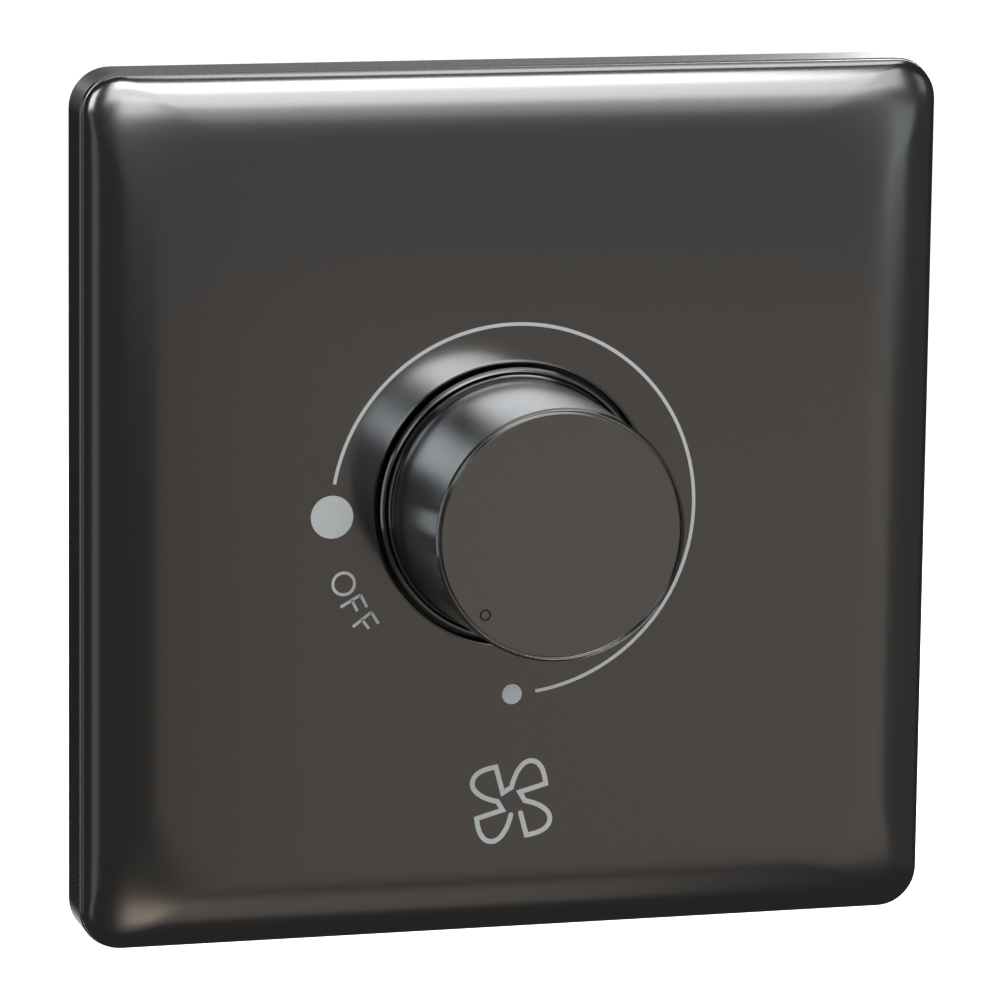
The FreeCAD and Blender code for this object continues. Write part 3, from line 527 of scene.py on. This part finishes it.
def build_cover():
    """The shell's outside runs over the pillow edge, its inside follows the wall and the skirt."""
    half = plate_side / 2 - cover_inset
    rise = cover_height - edge_height
    rings = [rounded_ring(half, plate_corner, seam_height)]
    for level in range(pillow_levels + 1):
        angle = math.pi / 2 * (level / pillow_levels) ** pillow_bias
        inset = pillow_width * (1 - math.cos(angle))
        corner = plate_corner + (pillow_corner - plate_corner) * inset / pillow_width
        rings.append(rounded_ring(half - inset, corner, edge_height + rise * math.sin(angle)))
    plateau = half - pillow_width - plateau_margin
    rings.append(rounded_ring(plateau, pillow_corner - plateau_margin, cover_height))
    count = len(rings[0])
    rings.append(round_ring(cover_hole_radius + 3 * hole_edge, cover_height, count))
    for degrees in (0, 45, 90):
        angle = math.radians(degrees)
        radius = cover_hole_radius + hole_edge * (1 - math.sin(angle))
        rings.append(round_ring(radius, cover_height - hole_edge * (1 - math.cos(angle)), count))
    back = cover_height - cover_wall
    inner_half = skirt_half - skirt_wall
    inner_corner = plate_corner - cover_wall
    rings.append(round_ring(cover_hole_radius, back, count))
    rings.append(rounded_ring(inner_half, inner_corner / 2, back))
    rings.append(rounded_ring(inner_half, inner_corner / 2, skirt_end))
    rings.append(rounded_ring(skirt_half, inner_corner, skirt_end))
    rings.append(rounded_ring(skirt_half, inner_corner, seam_height))
    parts = [banded(rings, closed=True)]
    barb_end = latch_z + latch_thickness + latch_barb
    for sx in (-1, 1):
        for sz in (-1, 1):
            left = sx * latch_offset - latch_width / 2
            right = left + latch_width
            ends = sorted((sz * latch_z, sz * (latch_z + latch_thickness)))
            parts.append(box_part(left, right, -back, -latch_end, *ends))
            ends = sorted((sz * (latch_z + barb_root), sz * barb_end))
            parts.append(box_part(
                left + barb_side, right - barb_side, -barb_height, -latch_end - barb_side, *ends,
            ))
    mesh = mesh_from("cover_plate_shell", *joined_points(parts), sharp_degrees=40)
    fine_object("cover_plate_shell", mesh, FIXED, [anthracite], ["cover_plate"])


def build_bezel():
    """A thin ring with chamfered front edges."""
    outline = eased([
        (bezel_inner_radius, bezel_bottom, 0),
        (bezel_outer_radius, bezel_bottom, 0),
        (bezel_outer_radius, bezel_height - bezel_chamfer, bezel_rounding),
        (bezel_outer_radius - bezel_chamfer, bezel_height, bezel_rounding),
        (bezel_inner_radius + bezel_chamfer / 2, bezel_height, bezel_lip_rounding),
        (bezel_inner_radius, bezel_height - bezel_chamfer / 2, bezel_lip_rounding),
    ])
    mesh = mesh_from("bezel_trim", *spun(outline, bezel_sides))
    fine_object("bezel_trim", mesh, FIXED, [anthracite], ["bezel_ring"])


def foot_curve():
    """The skirt's foot sweeps out to the bezel ring in a hollow curve."""
    steps = 16
    low, high = knob_foot_top - sweep_drop, knob_flare_top + sweep_rise
    cone = (knob_flare_radius - knob_rim_radius) / (knob_height - knob_flare_top)
    outline = []
    for step in range(steps + 1):
        h = low + (high - low) * (step / steps) ** 2
        radius = knob_flare_radius - cone * (h - knob_flare_top)
        flare = (knob_foot_radius - knob_flare_radius) * math.exp(-(h - low) / sweep_fade)
        outline.append((radius + flare, h, 0))
    return outline


def build_knob():
    """Skirt, hub and four ribs. The skirt has a much lighter copy of the plate's paint as a painted
    highlight; the rim's bevel and the foot have the plate's plain paint.
    """
    inner = knob_rim_radius - knob_wall
    recess = cap_radius + cap_groove
    ceiling = cap_floor - knob_wall
    outline = eased([
        (inner, knob_foot_bottom, 0),
        (knob_foot_radius, knob_foot_bottom, knob_foot_rounding),
        (knob_foot_radius, knob_foot_top - knob_foot_land, 0),
        *foot_curve(),
        (knob_rim_radius, knob_height - knob_rim_bevel, knob_rim_rounding),
        (knob_rim_radius - knob_rim_bevel, knob_height, knob_rim_rounding),
        (recess, knob_height, cap_groove_rounding),
        (recess, cap_floor, 0),
        (axis_radius, cap_floor, 0),
        (axis_radius, ceiling, 0),
        (inner, ceiling, 0),
    ], steps=6)
    parts = [spun(outline, knob_sides)]
    root = ceiling + knob_wall / 2
    hub = [
        (hub_bore_radius, hub_bottom),
        (hub_radius, hub_bottom),
        (hub_radius, root),
        (hub_bore_radius, root),
    ]
    parts.append(spun(hub, hub_sides))
    points, faces = box_part(
        hub_radius - rib_overlap, inner + rib_overlap, -root, rib_depth - ceiling,
        -rib_width / 2, rib_width / 2,
    )
    for turn in range(4):
        angle = math.radians(45 + 90 * turn)
        c, s = math.cos(angle), math.sin(angle)
        parts.append(([(x * c - z * s, y, x * s + z * c) for x, y, z in points], faces))
    mesh = mesh_from("knob_skirt", *joined_points(parts))
    fine_object("knob_skirt", mesh, TURNING, [skirt_painted_highlight, anthracite], ["knob"])
    # Faces at the rim's bevel and the foot get the plain anthracite; the rest of the skirt keeps
    # its painted highlight.
    for face in mesh.polygons:
        height = -face.center.y / MM
        if height > knob_height - plain_rim or height < knob_foot_top + plain_foot:
            face.material_index = 1


def build_cap():
    """Flat disc in the knob's rim, with the ring-shaped mark cut as a groove near its edge and
    painted near-black inside as shade.
    """
    step = cap_radius + cap_groove - cap_play
    outline = eased([
        (axis_radius, cap_floor, 0),
        (step, cap_floor, 0),
        (step, cap_step_height, 0),
        (cap_radius, cap_step_height, 0),
        (cap_radius, knob_height, cap_rounding),
        (cap_radius - cap_flat_inset, knob_height, 0),
        (axis_radius, knob_height, 0),
    ])
    angle = math.radians(mark_angle)
    x, z = mark_place_radius * math.cos(angle), mark_place_radius * math.sin(angle)
    above, bottom = knob_height + mark_depth, knob_height - mark_depth
    outer, inner = mark_radius, mark_radius - mark_groove
    groove = banded([
        round_ring(radius, height, mark_sides, x, z)
        for radius, height in ((outer, above), (outer, bottom), (inner, bottom), (inner, above))
    ], closed=True)
    mesh = cut_out(mesh_from("knob_cap_disc", *spun(outline, knob_sides)), *groove)
    shaded(mesh)
    fine_object(
        "knob_cap_disc", mesh, TURNING, [cap_paint, groove_painted_shade], ["knob_cap"],
    )
    # Faces of the mark's groove take the near-black painted shade.
    near = 0.01
    for face in mesh.polygons:
        middle = face.center
        beside = math.hypot(middle.x - x * MM, middle.z - z * MM)
        if beside < (mark_radius + near) * MM and middle.y > -(knob_height - near) * MM:
            face.material_index = 1


# Screws and wire, set out by Geometry Nodes

def new_tree(name, inputs):
    """An empty Geometry Nodes tree with named inputs, and the identifier of each input."""
    tree = bpy.data.node_groups.new(name, "GeometryNodeTree")
    tree.interface.new_socket("Geometry", in_out="INPUT", socket_type="NodeSocketGeometry")
    sockets = {}
    for label, kind, value in inputs:
        socket = tree.interface.new_socket(label, in_out="INPUT", socket_type=kind)
        if value is not None:
            socket.default_value = value
        sockets[label] = socket.identifier
    tree.interface.new_socket("Geometry", in_out="OUTPUT", socket_type="NodeSocketGeometry")
    return tree, sockets


def copies_tree():
    """A copy of a piece on each point, turned about Y by the point's turn and a random bit."""
    tree, sockets = new_tree("copies_on_points", [
        ("Piece", "NodeSocketObject", None),
        ("Finish", "NodeSocketMaterial", None),
        ("Random Turn", "NodeSocketFloat", 0.0),
        ("Seed", "NodeSocketInt", 7),
    ])
    node, link = tree.nodes.new, tree.links.new
    given = node("NodeGroupInput")
    result = node("NodeGroupOutput")
    piece = node("GeometryNodeObjectInfo")
    link(given.outputs["Piece"], piece.inputs["Object"])
    turn = node("GeometryNodeInputNamedAttribute")
    turn.data_type = "FLOAT"
    turn.inputs["Name"].default_value = "turn"
    low = node("ShaderNodeMath")
    low.operation = "MULTIPLY"
    low.inputs[1].default_value = -1
    link(given.outputs["Random Turn"], low.inputs[0])
    spread = node("FunctionNodeRandomValue")
    spread.data_type = "FLOAT"
    link(low.outputs[0], spread.inputs[2])
    link(given.outputs["Random Turn"], spread.inputs[3])
    link(given.outputs["Seed"], spread.inputs["Seed"])
    total = node("ShaderNodeMath")
    link(turn.outputs["Attribute"], total.inputs[0])
    link(spread.outputs[1], total.inputs[1])
    about_y = node("ShaderNodeCombineXYZ")
    link(total.outputs[0], about_y.inputs["Y"])
    copies = node("GeometryNodeInstanceOnPoints")
    link(given.outputs["Geometry"], copies.inputs["Points"])
    link(piece.outputs["Geometry"], copies.inputs["Instance"])
    link(about_y.outputs[0], copies.inputs["Rotation"])
    real = node("GeometryNodeRealizeInstances")
    link(copies.outputs[0], real.inputs[0])
    paint = node("GeometryNodeSetMaterial")
    link(real.outputs[0], paint.inputs["Geometry"])
    link(given.outputs["Finish"], paint.inputs["Material"])
    link(paint.outputs[0], result.inputs[0])
    return tree, sockets


def wire_tree():
    """A round wire along a line of edges."""
    tree, sockets = new_tree("wire_on_path", [
        ("Wire Radius", "NodeSocketFloat", 0.0005),
        ("Sides", "NodeSocketInt", 10),
        ("Finish", "NodeSocketMaterial", None),
    ])
    node, link = tree.nodes.new, tree.links.new
    given = node("NodeGroupInput")
    result = node("NodeGroupOutput")
    path = node("GeometryNodeMeshToCurve")
    link(given.outputs["Geometry"], path.inputs[0])
    section = node("GeometryNodeCurvePrimitiveCircle")
    link(given.outputs["Sides"], section.inputs["Resolution"])
    link(given.outputs["Wire Radius"], section.inputs["Radius"])
    wire = node("GeometryNodeCurveToMesh")
    link(path.outputs[0], wire.inputs["Curve"])
    link(section.outputs[0], wire.inputs["Profile Curve"])
    wire.inputs["Fill Caps"].default_value = True
    real = node("GeometryNodeRealizeInstances")
    link(wire.outputs[0], real.inputs[0])
    paint = node("GeometryNodeSetMaterial")
    link(real.outputs[0], paint.inputs["Geometry"])
    link(given.outputs["Finish"], paint.inputs["Material"])
    link(paint.outputs[0], result.inputs[0])
    return tree, sockets


def grown(name, base_mesh, tree, sockets, values):
    """The plain mesh that a tree makes from a base mesh and its input values."""
    holder = bpy.data.objects.new(name, base_mesh)
    bpy.context.scene.collection.objects.link(holder)
    modifier = holder.modifiers.new(name, "NODES")
    modifier.node_group = tree
    for label, value in values.items():
        modifier[sockets[label]] = value
    graph = bpy.context.evaluated_depsgraph_get()
    mesh = bpy.data.meshes.new_from_object(holder.evaluated_get(graph))
    holder.modifiers.clear()
    bpy.data.objects.remove(holder)
    work = bmesh.new()
    work.from_mesh(mesh)
    bmesh.ops.recalc_face_normals(work, faces=work.faces)
    work.to_mesh(mesh)
    work.free()
    mesh.materials.clear()
    return shaded(mesh)


def threaded_rings(root, crest, pitch, seat, tip, toward):
    """Rings of a shank with a helical thread, from under the head to a short blunt point."""
    sides, levels_a_turn = 24, 6
    point_length, point_share, thread_start = 1.2, 0.45, 0.6
    rings = []
    length = abs(tip - seat)
    levels = int(length / pitch * levels_a_turn)
    for level in range(levels + 1):
        along = length * level / levels
        taper = min(1.0, point_share + (length - along) / point_length)
        ring = []
        for k in range(sides):
            phase = (along / pitch - k / sides * toward) % 1
            ridge = max(0.0, 1 - abs(phase - 0.5) * 4) * min(1.0, along / thread_start)
            radius = (root + (crest - root) * ridge) * taper
            angle = 2 * math.pi * k / sides
            ring.append((radius * math.cos(angle), seat + toward * along, radius * math.sin(angle)))
        rings.append(ring)
    return rings


def single_screw(name, sizes, toward, recess):
    """A screw on the Y axis with its seat at Y = 0 and its shank toward +Y or -Y."""
    head_radius, head_thickness, shank_radius, length, pitch = sizes
    width, reach, depth, share = recess
    sides, edge, root_share, overlap, above = 48, 0.35, 0.86, 0.3, 0.05
    levels = [(head_radius, 0), (head_radius, head_thickness - edge)]
    for degrees in (20, 40, 60, 80, 90):
        angle = math.radians(degrees)
        radius = head_radius - edge * (1 - math.cos(angle))
        levels.append((radius, head_thickness - edge + edge * math.sin(angle)))
    head = capped([round_ring(radius, toward * out, sides) for radius, out in levels])
    root, seat, tip = shank_radius * root_share, -toward * overlap, toward * length
    shank = capped(threaded_rings(root, shank_radius, pitch, seat, tip, toward))
    mesh = mesh_from(name, *head)
    ends = -toward * (head_thickness + above), -toward * (head_thickness - depth)
    mesh = cut_out(mesh, *tapered_box(reach / 2, width / 2, *ends, share))
    if recess is cross_recess:
        mesh = cut_out(mesh, *tapered_box(width / 2, reach / 2, *ends, share))
    work = bmesh.new()
    work.from_mesh(mesh)
    work.from_mesh(mesh_from(name + "_shank", *shank))
    work.to_mesh(mesh)
    work.free()
    screw = bpy.data.objects.new(name, mesh)
    bpy.context.scene.collection.objects.link(screw)
    return screw


def places_mesh(name, places):
    """Points in millimetres for copies to stand on, each with a turn in radians."""
    mesh = bpy.data.meshes.new(name)
    mesh.from_pydata([(x * MM, y * MM, z * MM) for x, y, z, turn in places], [], [])
    turns = mesh.attributes.new("turn", "FLOAT", "POINT")
    for index, place in enumerate(places):
        turns.data[index].value = place[3]
    return mesh


def build_screws(copies):
    """Each group of screws is one piece, made of copies of a single screw."""
    tree, sockets = copies
    housing_seat = housing_back - housing_screw_sink
    terminal_seat = housing_back - terminal_screw_sink
    kinds = [
        ("frame_crosshead", "frame_screws", frame_screw, 1, cross_recess, 0.5, [
            (-screw_x, -web_height, screw_z, 0.4),
            (screw_x, -web_height, -screw_z, 1.1),
        ]),
        ("housing_crosshead", "housing_screws", housing_screw, -1, cross_recess, 0.5, [
            (screw_x, housing_seat, screw_z, 0.2),
            (-screw_x, housing_seat, -screw_z, 0.9),
        ]),
        ("terminal_slotted", "terminal_screws", terminal_screw, -1, slot_recess, 0.7, [
            (x, terminal_seat, terminal_screw_z, 0.0) for x in terminal_x
        ]),
    ]
    for name, node, sizes, toward, recess, spread, places in kinds:
        single = single_screw(name + "_single", sizes, toward, recess)
        values = {"Piece": single, "Finish": zinc, "Random Turn": spread, "Seed": screw_seed}
        mesh = grown(name, places_mesh(name + "_places", places), tree, sockets, values)
        bpy.data.objects.remove(single)
        fine_object(name, mesh, FIXED, [zinc], [node])


def winding_path():
    """The wire's middle line, round the choke's ring from one tail to the other.

    Each turn is a rounded rectangle round the ring's section.
    """
    corner, steps = 1.3, 5
    inner, outer = winding_inner_radius + wire_radius, winding_outer_radius - wire_radius
    front, back = board_front - winding_height + wire_radius, board_front - wire_radius
    reach_r, reach_y = (outer - inner) / 2 - corner, (back - front) / 2 - corner
    loop = []
    for turn, (side_r, side_y) in enumerate(((1, 1), (-1, 1), (-1, -1), (1, -1))):
        for step in range(steps + 1):
            angle = math.radians(90 * turn + 90 * step / steps)
            loop.append((
                (outer + inner) / 2 + side_r * reach_r + corner * math.cos(angle),
                (front + back) / 2 + side_y * reach_y + corner * math.sin(angle),
            ))
    first = steps + 1
    spots = (loop * (winding_turns + 1))[first:first + winding_turns * len(loop)]
    spots = [(winding_tail, back), *spots, (winding_tail, back)]
    sweep = winding_end - winding_start
    points = []
    for index, (radius, y) in enumerate(spots):
        angle = math.radians(winding_start + sweep * index / (len(spots) - 1))
        points.append((radius * math.cos(angle), y, radius * math.sin(angle)))
    return points


def build_winding(wires):
    """Turns of enamelled wire on the choke's ring, and its two bare tails through the board."""
    tree, sockets = wires
    cx, cz = choke_place
    points = [((cx + x) * MM, y * MM, (cz + z) * MM) for x, y, z in winding_path()]
    line = bpy.data.meshes.new("winding_line")
    line.from_pydata(points, [(k, k + 1) for k in range(len(points) - 1)], [])
    values = {"Wire Radius": wire_radius * MM, "Sides": wire_sides, "Finish": copper}
    mesh = grown("choke_turns", line, tree, sockets, values)
    fine_object("choke_turns", mesh, FIXED, [copper], ["choke_winding"])
    tails = []
    for side in (-1, 1):
        x, z = cx + side * tail_offset, cz - tail_offset
        tails.append(capped([
            round_ring(tail_radius, -(board_front - tail_reach), tail_sides, x, z),
            round_ring(tail_radius, -(board_back + tail_reach), tail_sides, x, z),
            round_ring(tail_tip_radius, -(board_back + tail_end), tail_sides, x, z),
        ]))
    tail_mesh = mesh_from("choke_tails", *joined_points(tails))
    fine_object("choke_tails", tail_mesh, FIXED, [tin])


dress_cad_nodes()
build_cover()
build_bezel()
build_knob()
build_cap()
build_screws(copies_tree())
build_winding(wire_tree())


# Print

def disc(centre, radius, count):
    """A round dot of ink."""
    return capped([
        round_ring(radius, cover_height - ink_sink, count, *centre),
        round_ring(radius, cover_height + ink_thickness, count, *centre),
    ])


def ribbon(path, width, closed=False, round_ends=False):
    """A flat line of ink along (x, z) points, mitred at its corners, with square or round ends."""
    mitre_limit = 0.6
    spots = [Vector(point) for point in path]
    count = len(spots)
    runs = [(spots[(k + 1) % count] - spots[k]).normalized() for k in range(count)]
    sections = []
    for index, here in enumerate(spots):
        first = runs[index - 1] if closed or index > 0 else runs[0]
        second = runs[index] if closed or index < count - 1 else first
        along = (first + second).normalized()
        reach = width / 2 / max(mitre_limit, along.dot(first))
        sections.append((here, Vector((-along.y, along.x)) * reach))
    if round_ends:
        steps = 6
        start_side, end_side = (sections[k][1].normalized() * width / 2 for k in (0, -1))
        for step in range(1, steps):
            angle = math.radians(90 * step / steps)
            out, narrow = width / 2 * math.sin(angle), math.cos(angle)
            sections.insert(0, (spots[0] - runs[0] * out, start_side * narrow))
            sections.append((spots[-1] + runs[-2] * out, end_side * narrow))
    low, high = cover_height - ink_sink, cover_height + ink_thickness
    rings = []
    for here, side in sections:
        left, right = here + side, here - side
        rings.append([
            (left.x, -low, left.y), (left.x, -high, left.y),
            (right.x, -high, right.y), (right.x, -low, right.y),
        ])
    return banded(rings, closed=True) if closed else capped(rings)


def arc_path(centre, radius, start, end, steps):
    """Points of an arc between two angles in degrees."""
    cx, cz = centre
    angles = [math.radians(start + (end - start) * k / steps) for k in range(steps + 1)]
    return [(cx + radius * math.cos(a), cz + radius * math.sin(a)) for a in angles]


def bent(start, first_pull, second_pull, end):
    """Points of a cubic curve, without its end."""
    a, b, c, d = Vector(start), Vector(first_pull), Vector(second_pull), Vector(end)
    steps = 12
    points = []
    for step in range(steps):
        t = step / steps
        s = 1 - t
        points.append(a * s ** 3 + b * 3 * t * s ** 2 + c * 3 * t ** 2 * s + d * t ** 3)
    return points


def fan_path():
    """One open line round four blades: a bulging side, a straight side, a link to the next."""
    root, lobe, corner, heel = (-0.02, -1.42), (-1.99, -4.05), (-3.56, -1.62), (-0.88, -0.88)
    blade = bent(root, (-0.35, -2.9), (-1.1, -4.07), lobe)
    blade += bent(lobe, (-3.0, -4.02), (-3.42, -2.9), corner)
    blade += [Vector(corner), Vector(heel)]
    cx, cz = fan_centre
    path = []
    for turn in range(4):
        for spot in blade:
            path.append((cx + spot.x, cz + spot.y))
        blade = [Vector((spot.y, -spot.x)) for spot in blade]
    (x0, z0), (x1, z1) = path[-2], path[-1]
    path[-1] = (x1 + (x0 - x1) * fan_gap, z1 + (z0 - z1) * fan_gap)
    return path


def build_print():
    """The dial's arc and dots, the word OFF and the fan pictogram, as one piece of ink."""
    dial = arc_path(dial_centre, dial_radius, dial_start, dial_end, 140)
    circle = arc_path(letter_o, letter_o_radius, 0, 360, 40)[:-1]
    parts = [
        disc(large_dot, large_dot_radius, large_dot_sides),
        disc(small_dot, small_dot_radius, small_dot_sides),
        ribbon(dial, dial_line),
        ribbon(circle, letter_line, closed=True),
    ]
    for stroke in letter_strokes:
        for first, second in zip(stroke, stroke[1:]):
            parts.append(ribbon([first, second], letter_line))
    parts.append(ribbon(fan_path(), fan_line, round_ends=True))
    mesh = mesh_from("dial_print", *joined_points(parts))
    fine_object("dial_print", mesh, FIXED, [ink])


build_print()


# Stage, light and camera, in metres and degrees

camera_right = Vector((0.9639, -0.2660, 0.0121))
camera_up = Vector((0.0369, 0.1783, 0.9833))
camera_ahead = Vector((0.2637, 0.9473, -0.1817))
camera_place = Vector((-0.16522, -0.59536, 0.11329))
camera_lens = 225.8
paper_colour = (0.8, 0.8, 0.8)
paper_roughness = 0.9
paper_lift = 0.7
floor_sight = Vector((0.2682, 0.9634, 0))
floor_width = 0.7
floor_near = 0.1
floor_far = 4.5
floor_height = -0.3
lamp_distance = 1.6
daylight = (0.96, 0.99, 1.0)
skylight = (0.9, 0.96, 1.0)


def seen_by(tree, *kinds):
    """1 for the kinds of rays that are named, and 0 for all others."""
    path = tree.nodes.new("ShaderNodeLightPath")
    seen = path.outputs[kinds[0]]
    for kind in kinds[1:]:
        either = tree.nodes.new("ShaderNodeMath")
        either.operation = "MAXIMUM"
        tree.links.new(seen, either.inputs[0])
        tree.links.new(path.outputs[kind], either.inputs[1])
        seen = either.outputs[0]
    return seen


def white_paper():
    """Paper that shows pale to the eye, to gloss and to glass, and still takes a shadow."""
    material = bpy.data.materials.new("white_paper")
    material.use_nodes = True
    tree = material.node_tree
    shader = tree.nodes["Principled BSDF"]
    shader.inputs["Base Color"].default_value = (*paper_colour, 1)
    shader.inputs["Roughness"].default_value = paper_roughness
    shader.inputs["Emission Color"].default_value = (1, 1, 1, 1)
    strength = tree.nodes.new("ShaderNodeMath")
    strength.operation = "MULTIPLY"
    seen = seen_by(tree, "Is Camera Ray", "Is Glossy Ray", "Is Transmission Ray")
    tree.links.new(seen, strength.inputs[0])
    strength.inputs[1].default_value = paper_lift
    tree.links.new(strength.outputs[0], shader.inputs["Emission Strength"])
    return material


def build_floor():
    """White paper behind and below the plate, laid along the camera's line of sight."""
    side = Vector((floor_sight.y, -floor_sight.x, 0)) * floor_width / 2
    drop = Vector((0, 0, floor_height))
    near, far = floor_sight * floor_near, floor_sight * floor_far
    corners = [near - side + drop, near + side + drop, far + side + drop, far - side + drop]
    mesh = bpy.data.meshes.new("paper_floor")
    mesh.from_pydata([tuple(corner) for corner in corners], [], [(0, 1, 2, 3)])
    mesh.materials.append(white_paper())
    floor = bpy.data.objects.new("paper_floor", mesh)
    bpy.context.scene.collection.objects.link(floor)


def build_world(front, behind, below, colour):
    """White to the eye and through glass. In gloss and as light a dim room with a pale back."""
    world = bpy.data.worlds.new("studio")
    world.use_nodes = True
    bpy.context.scene.world = world
    tree = world.node_tree
    back = tree.nodes["Background"]
    place = tree.nodes.new("ShaderNodeTexCoord")
    axes = tree.nodes.new("ShaderNodeSeparateXYZ")
    tree.links.new(place.outputs["Generated"], axes.inputs[0])

    def ramp(value, start, end, low, high):
        """A value that eases from low to high, each a number or a socket, between two places."""
        node = tree.nodes.new("ShaderNodeMapRange")
        node.interpolation_type = "SMOOTHSTEP"
        node.inputs["From Min"].default_value = start
        node.inputs["From Max"].default_value = end
        for socket, level in (("To Min", low), ("To Max", high)):
            if hasattr(level, "node"):
                tree.links.new(level, node.inputs[socket])
            else:
                node.inputs[socket].default_value = level
        tree.links.new(value, node.inputs["Value"])
        return node.outputs["Result"]

    horizon, depth = (-0.12, 0.05), (0.0, 0.6)
    wall = ramp(axes.outputs["Z"], *horizon, below, behind)
    room = ramp(axes.outputs["Y"], *depth, front, wall)
    seen = seen_by(tree, "Is Camera Ray", "Is Transmission Ray")
    tree.links.new(ramp(seen, 0, 1, room, 1.0), back.inputs["Strength"])
    tint = tree.nodes.new("ShaderNodeMix")
    tint.data_type = "RGBA"
    tree.links.new(seen, tint.inputs["Factor"])
    tint.inputs["A"].default_value = (*colour, 1)
    tint.inputs["B"].default_value = (1, 1, 1, 1)
    tree.links.new(tint.outputs["Result"], back.inputs["Color"])


def softbox(name, azimuth, elevation, wide, tall, glow, colour=(1, 1, 1)):
    """A rectangular lamp that looks at the plate.

    All angles are in degrees. Azimuth 0 is in front and 90 on the right, and wide and tall are
    the angles that the lamp fills. glow is how bright its face is next to white paper.
    """
    lamp = bpy.data.lights.new(name, "AREA")
    lamp.shape = "RECTANGLE"
    lamp.size = 2 * lamp_distance * math.tan(math.radians(wide / 2))
    lamp.size_y = 2 * lamp_distance * math.tan(math.radians(tall / 2))
    lamp.energy = glow * math.pi * lamp.size * lamp.size_y
    lamp.color = colour
    box = bpy.data.objects.new(name, lamp)
    a, e = math.radians(azimuth), math.radians(elevation)
    away = Vector((math.sin(a) * math.cos(e), -math.cos(a) * math.cos(e), math.sin(e)))
    box.location = away * lamp_distance
    box.rotation_mode = "QUATERNION"
    box.rotation_quaternion = away.to_track_quat("Z", "Y")
    bpy.context.scene.collection.objects.link(box)


def build_camera():
    """Camera at the photograph's viewing angle: to the left of the plate and a little above it."""
    data = bpy.data.cameras.new("camera")
    data.sensor_width = 36
    data.lens = camera_lens
    camera = bpy.data.objects.new("camera", data)
    columns = (camera_right, camera_up, -camera_ahead, camera_place)
    camera.matrix_world = Matrix((
        *([column[axis] for column in columns] for axis in range(3)),
        (0, 0, 0, 1),
    ))
    bpy.context.scene.collection.objects.link(camera)
    bpy.context.scene.camera = camera


build_floor()
build_world(front=0.2, behind=0.9, below=0.04, colour=(1.0, 0.98, 0.96))
softbox("key_softbox", 9, 15.5, 23, 19, 8, daylight)
softbox("key_core", 10, 20, 19, 12, 8, daylight)
softbox("key_left", 5.5, 4, 6, 6, 5.5, daylight)
softbox("key_right", 24.5, 11.5, 8, 15, 5, daylight)
softbox("key_lower", 13, 4, 23, 5, 2.2)
softbox("key_tail", 15, -3, 26, 9, 0.32)
softbox("upper_softbox", 14, 28, 22, 7, 0.9)
softbox("left_strip", -19, 13, 12, 15, 10, skylight)
softbox("top_softbox", 26, 44, 18, 16, 7)
softbox("overhead_softbox", 15, 60, 50, 14, 3.5)
softbox("zenith_softbox", 0, 84, 70, 24, 2.0)
softbox("warm_fill", 20, -13.7, 18, 12.2, 0.59, (1.0, 0.87, 0.76))
softbox("right_fill", 42, -4, 40, 34, 0.12, (0.94, 0.98, 1.0))
softbox("right_line", 29, -3, 7, 7, 1.5, (0.86, 0.97, 1.0))
softbox("corner_line", 40, 8, 8, 9, 1.5)
softbox("left_line", -17, -12, 8, 26, 0.65, skylight)
softbox("seam_line", -76, 0, 12, 40, 1.6)
softbox("low_streak", 11, -26, 15, 8, 0.6, (1.0, 0.92, 0.84))
softbox("low_patch", 7, -23.5, 5, 6, 2.3, (1.0, 0.82, 0.62))
softbox("rim_softbox", 148, 20, 24, 36, 9)
softbox("left_rim", -150, 20, 40, 20, 4)
softbox("wall_glow", -168, -11, 16, 24, 0.12)
build_camera()
bpy.context.scene.view_settings.view_transform = "Standard"
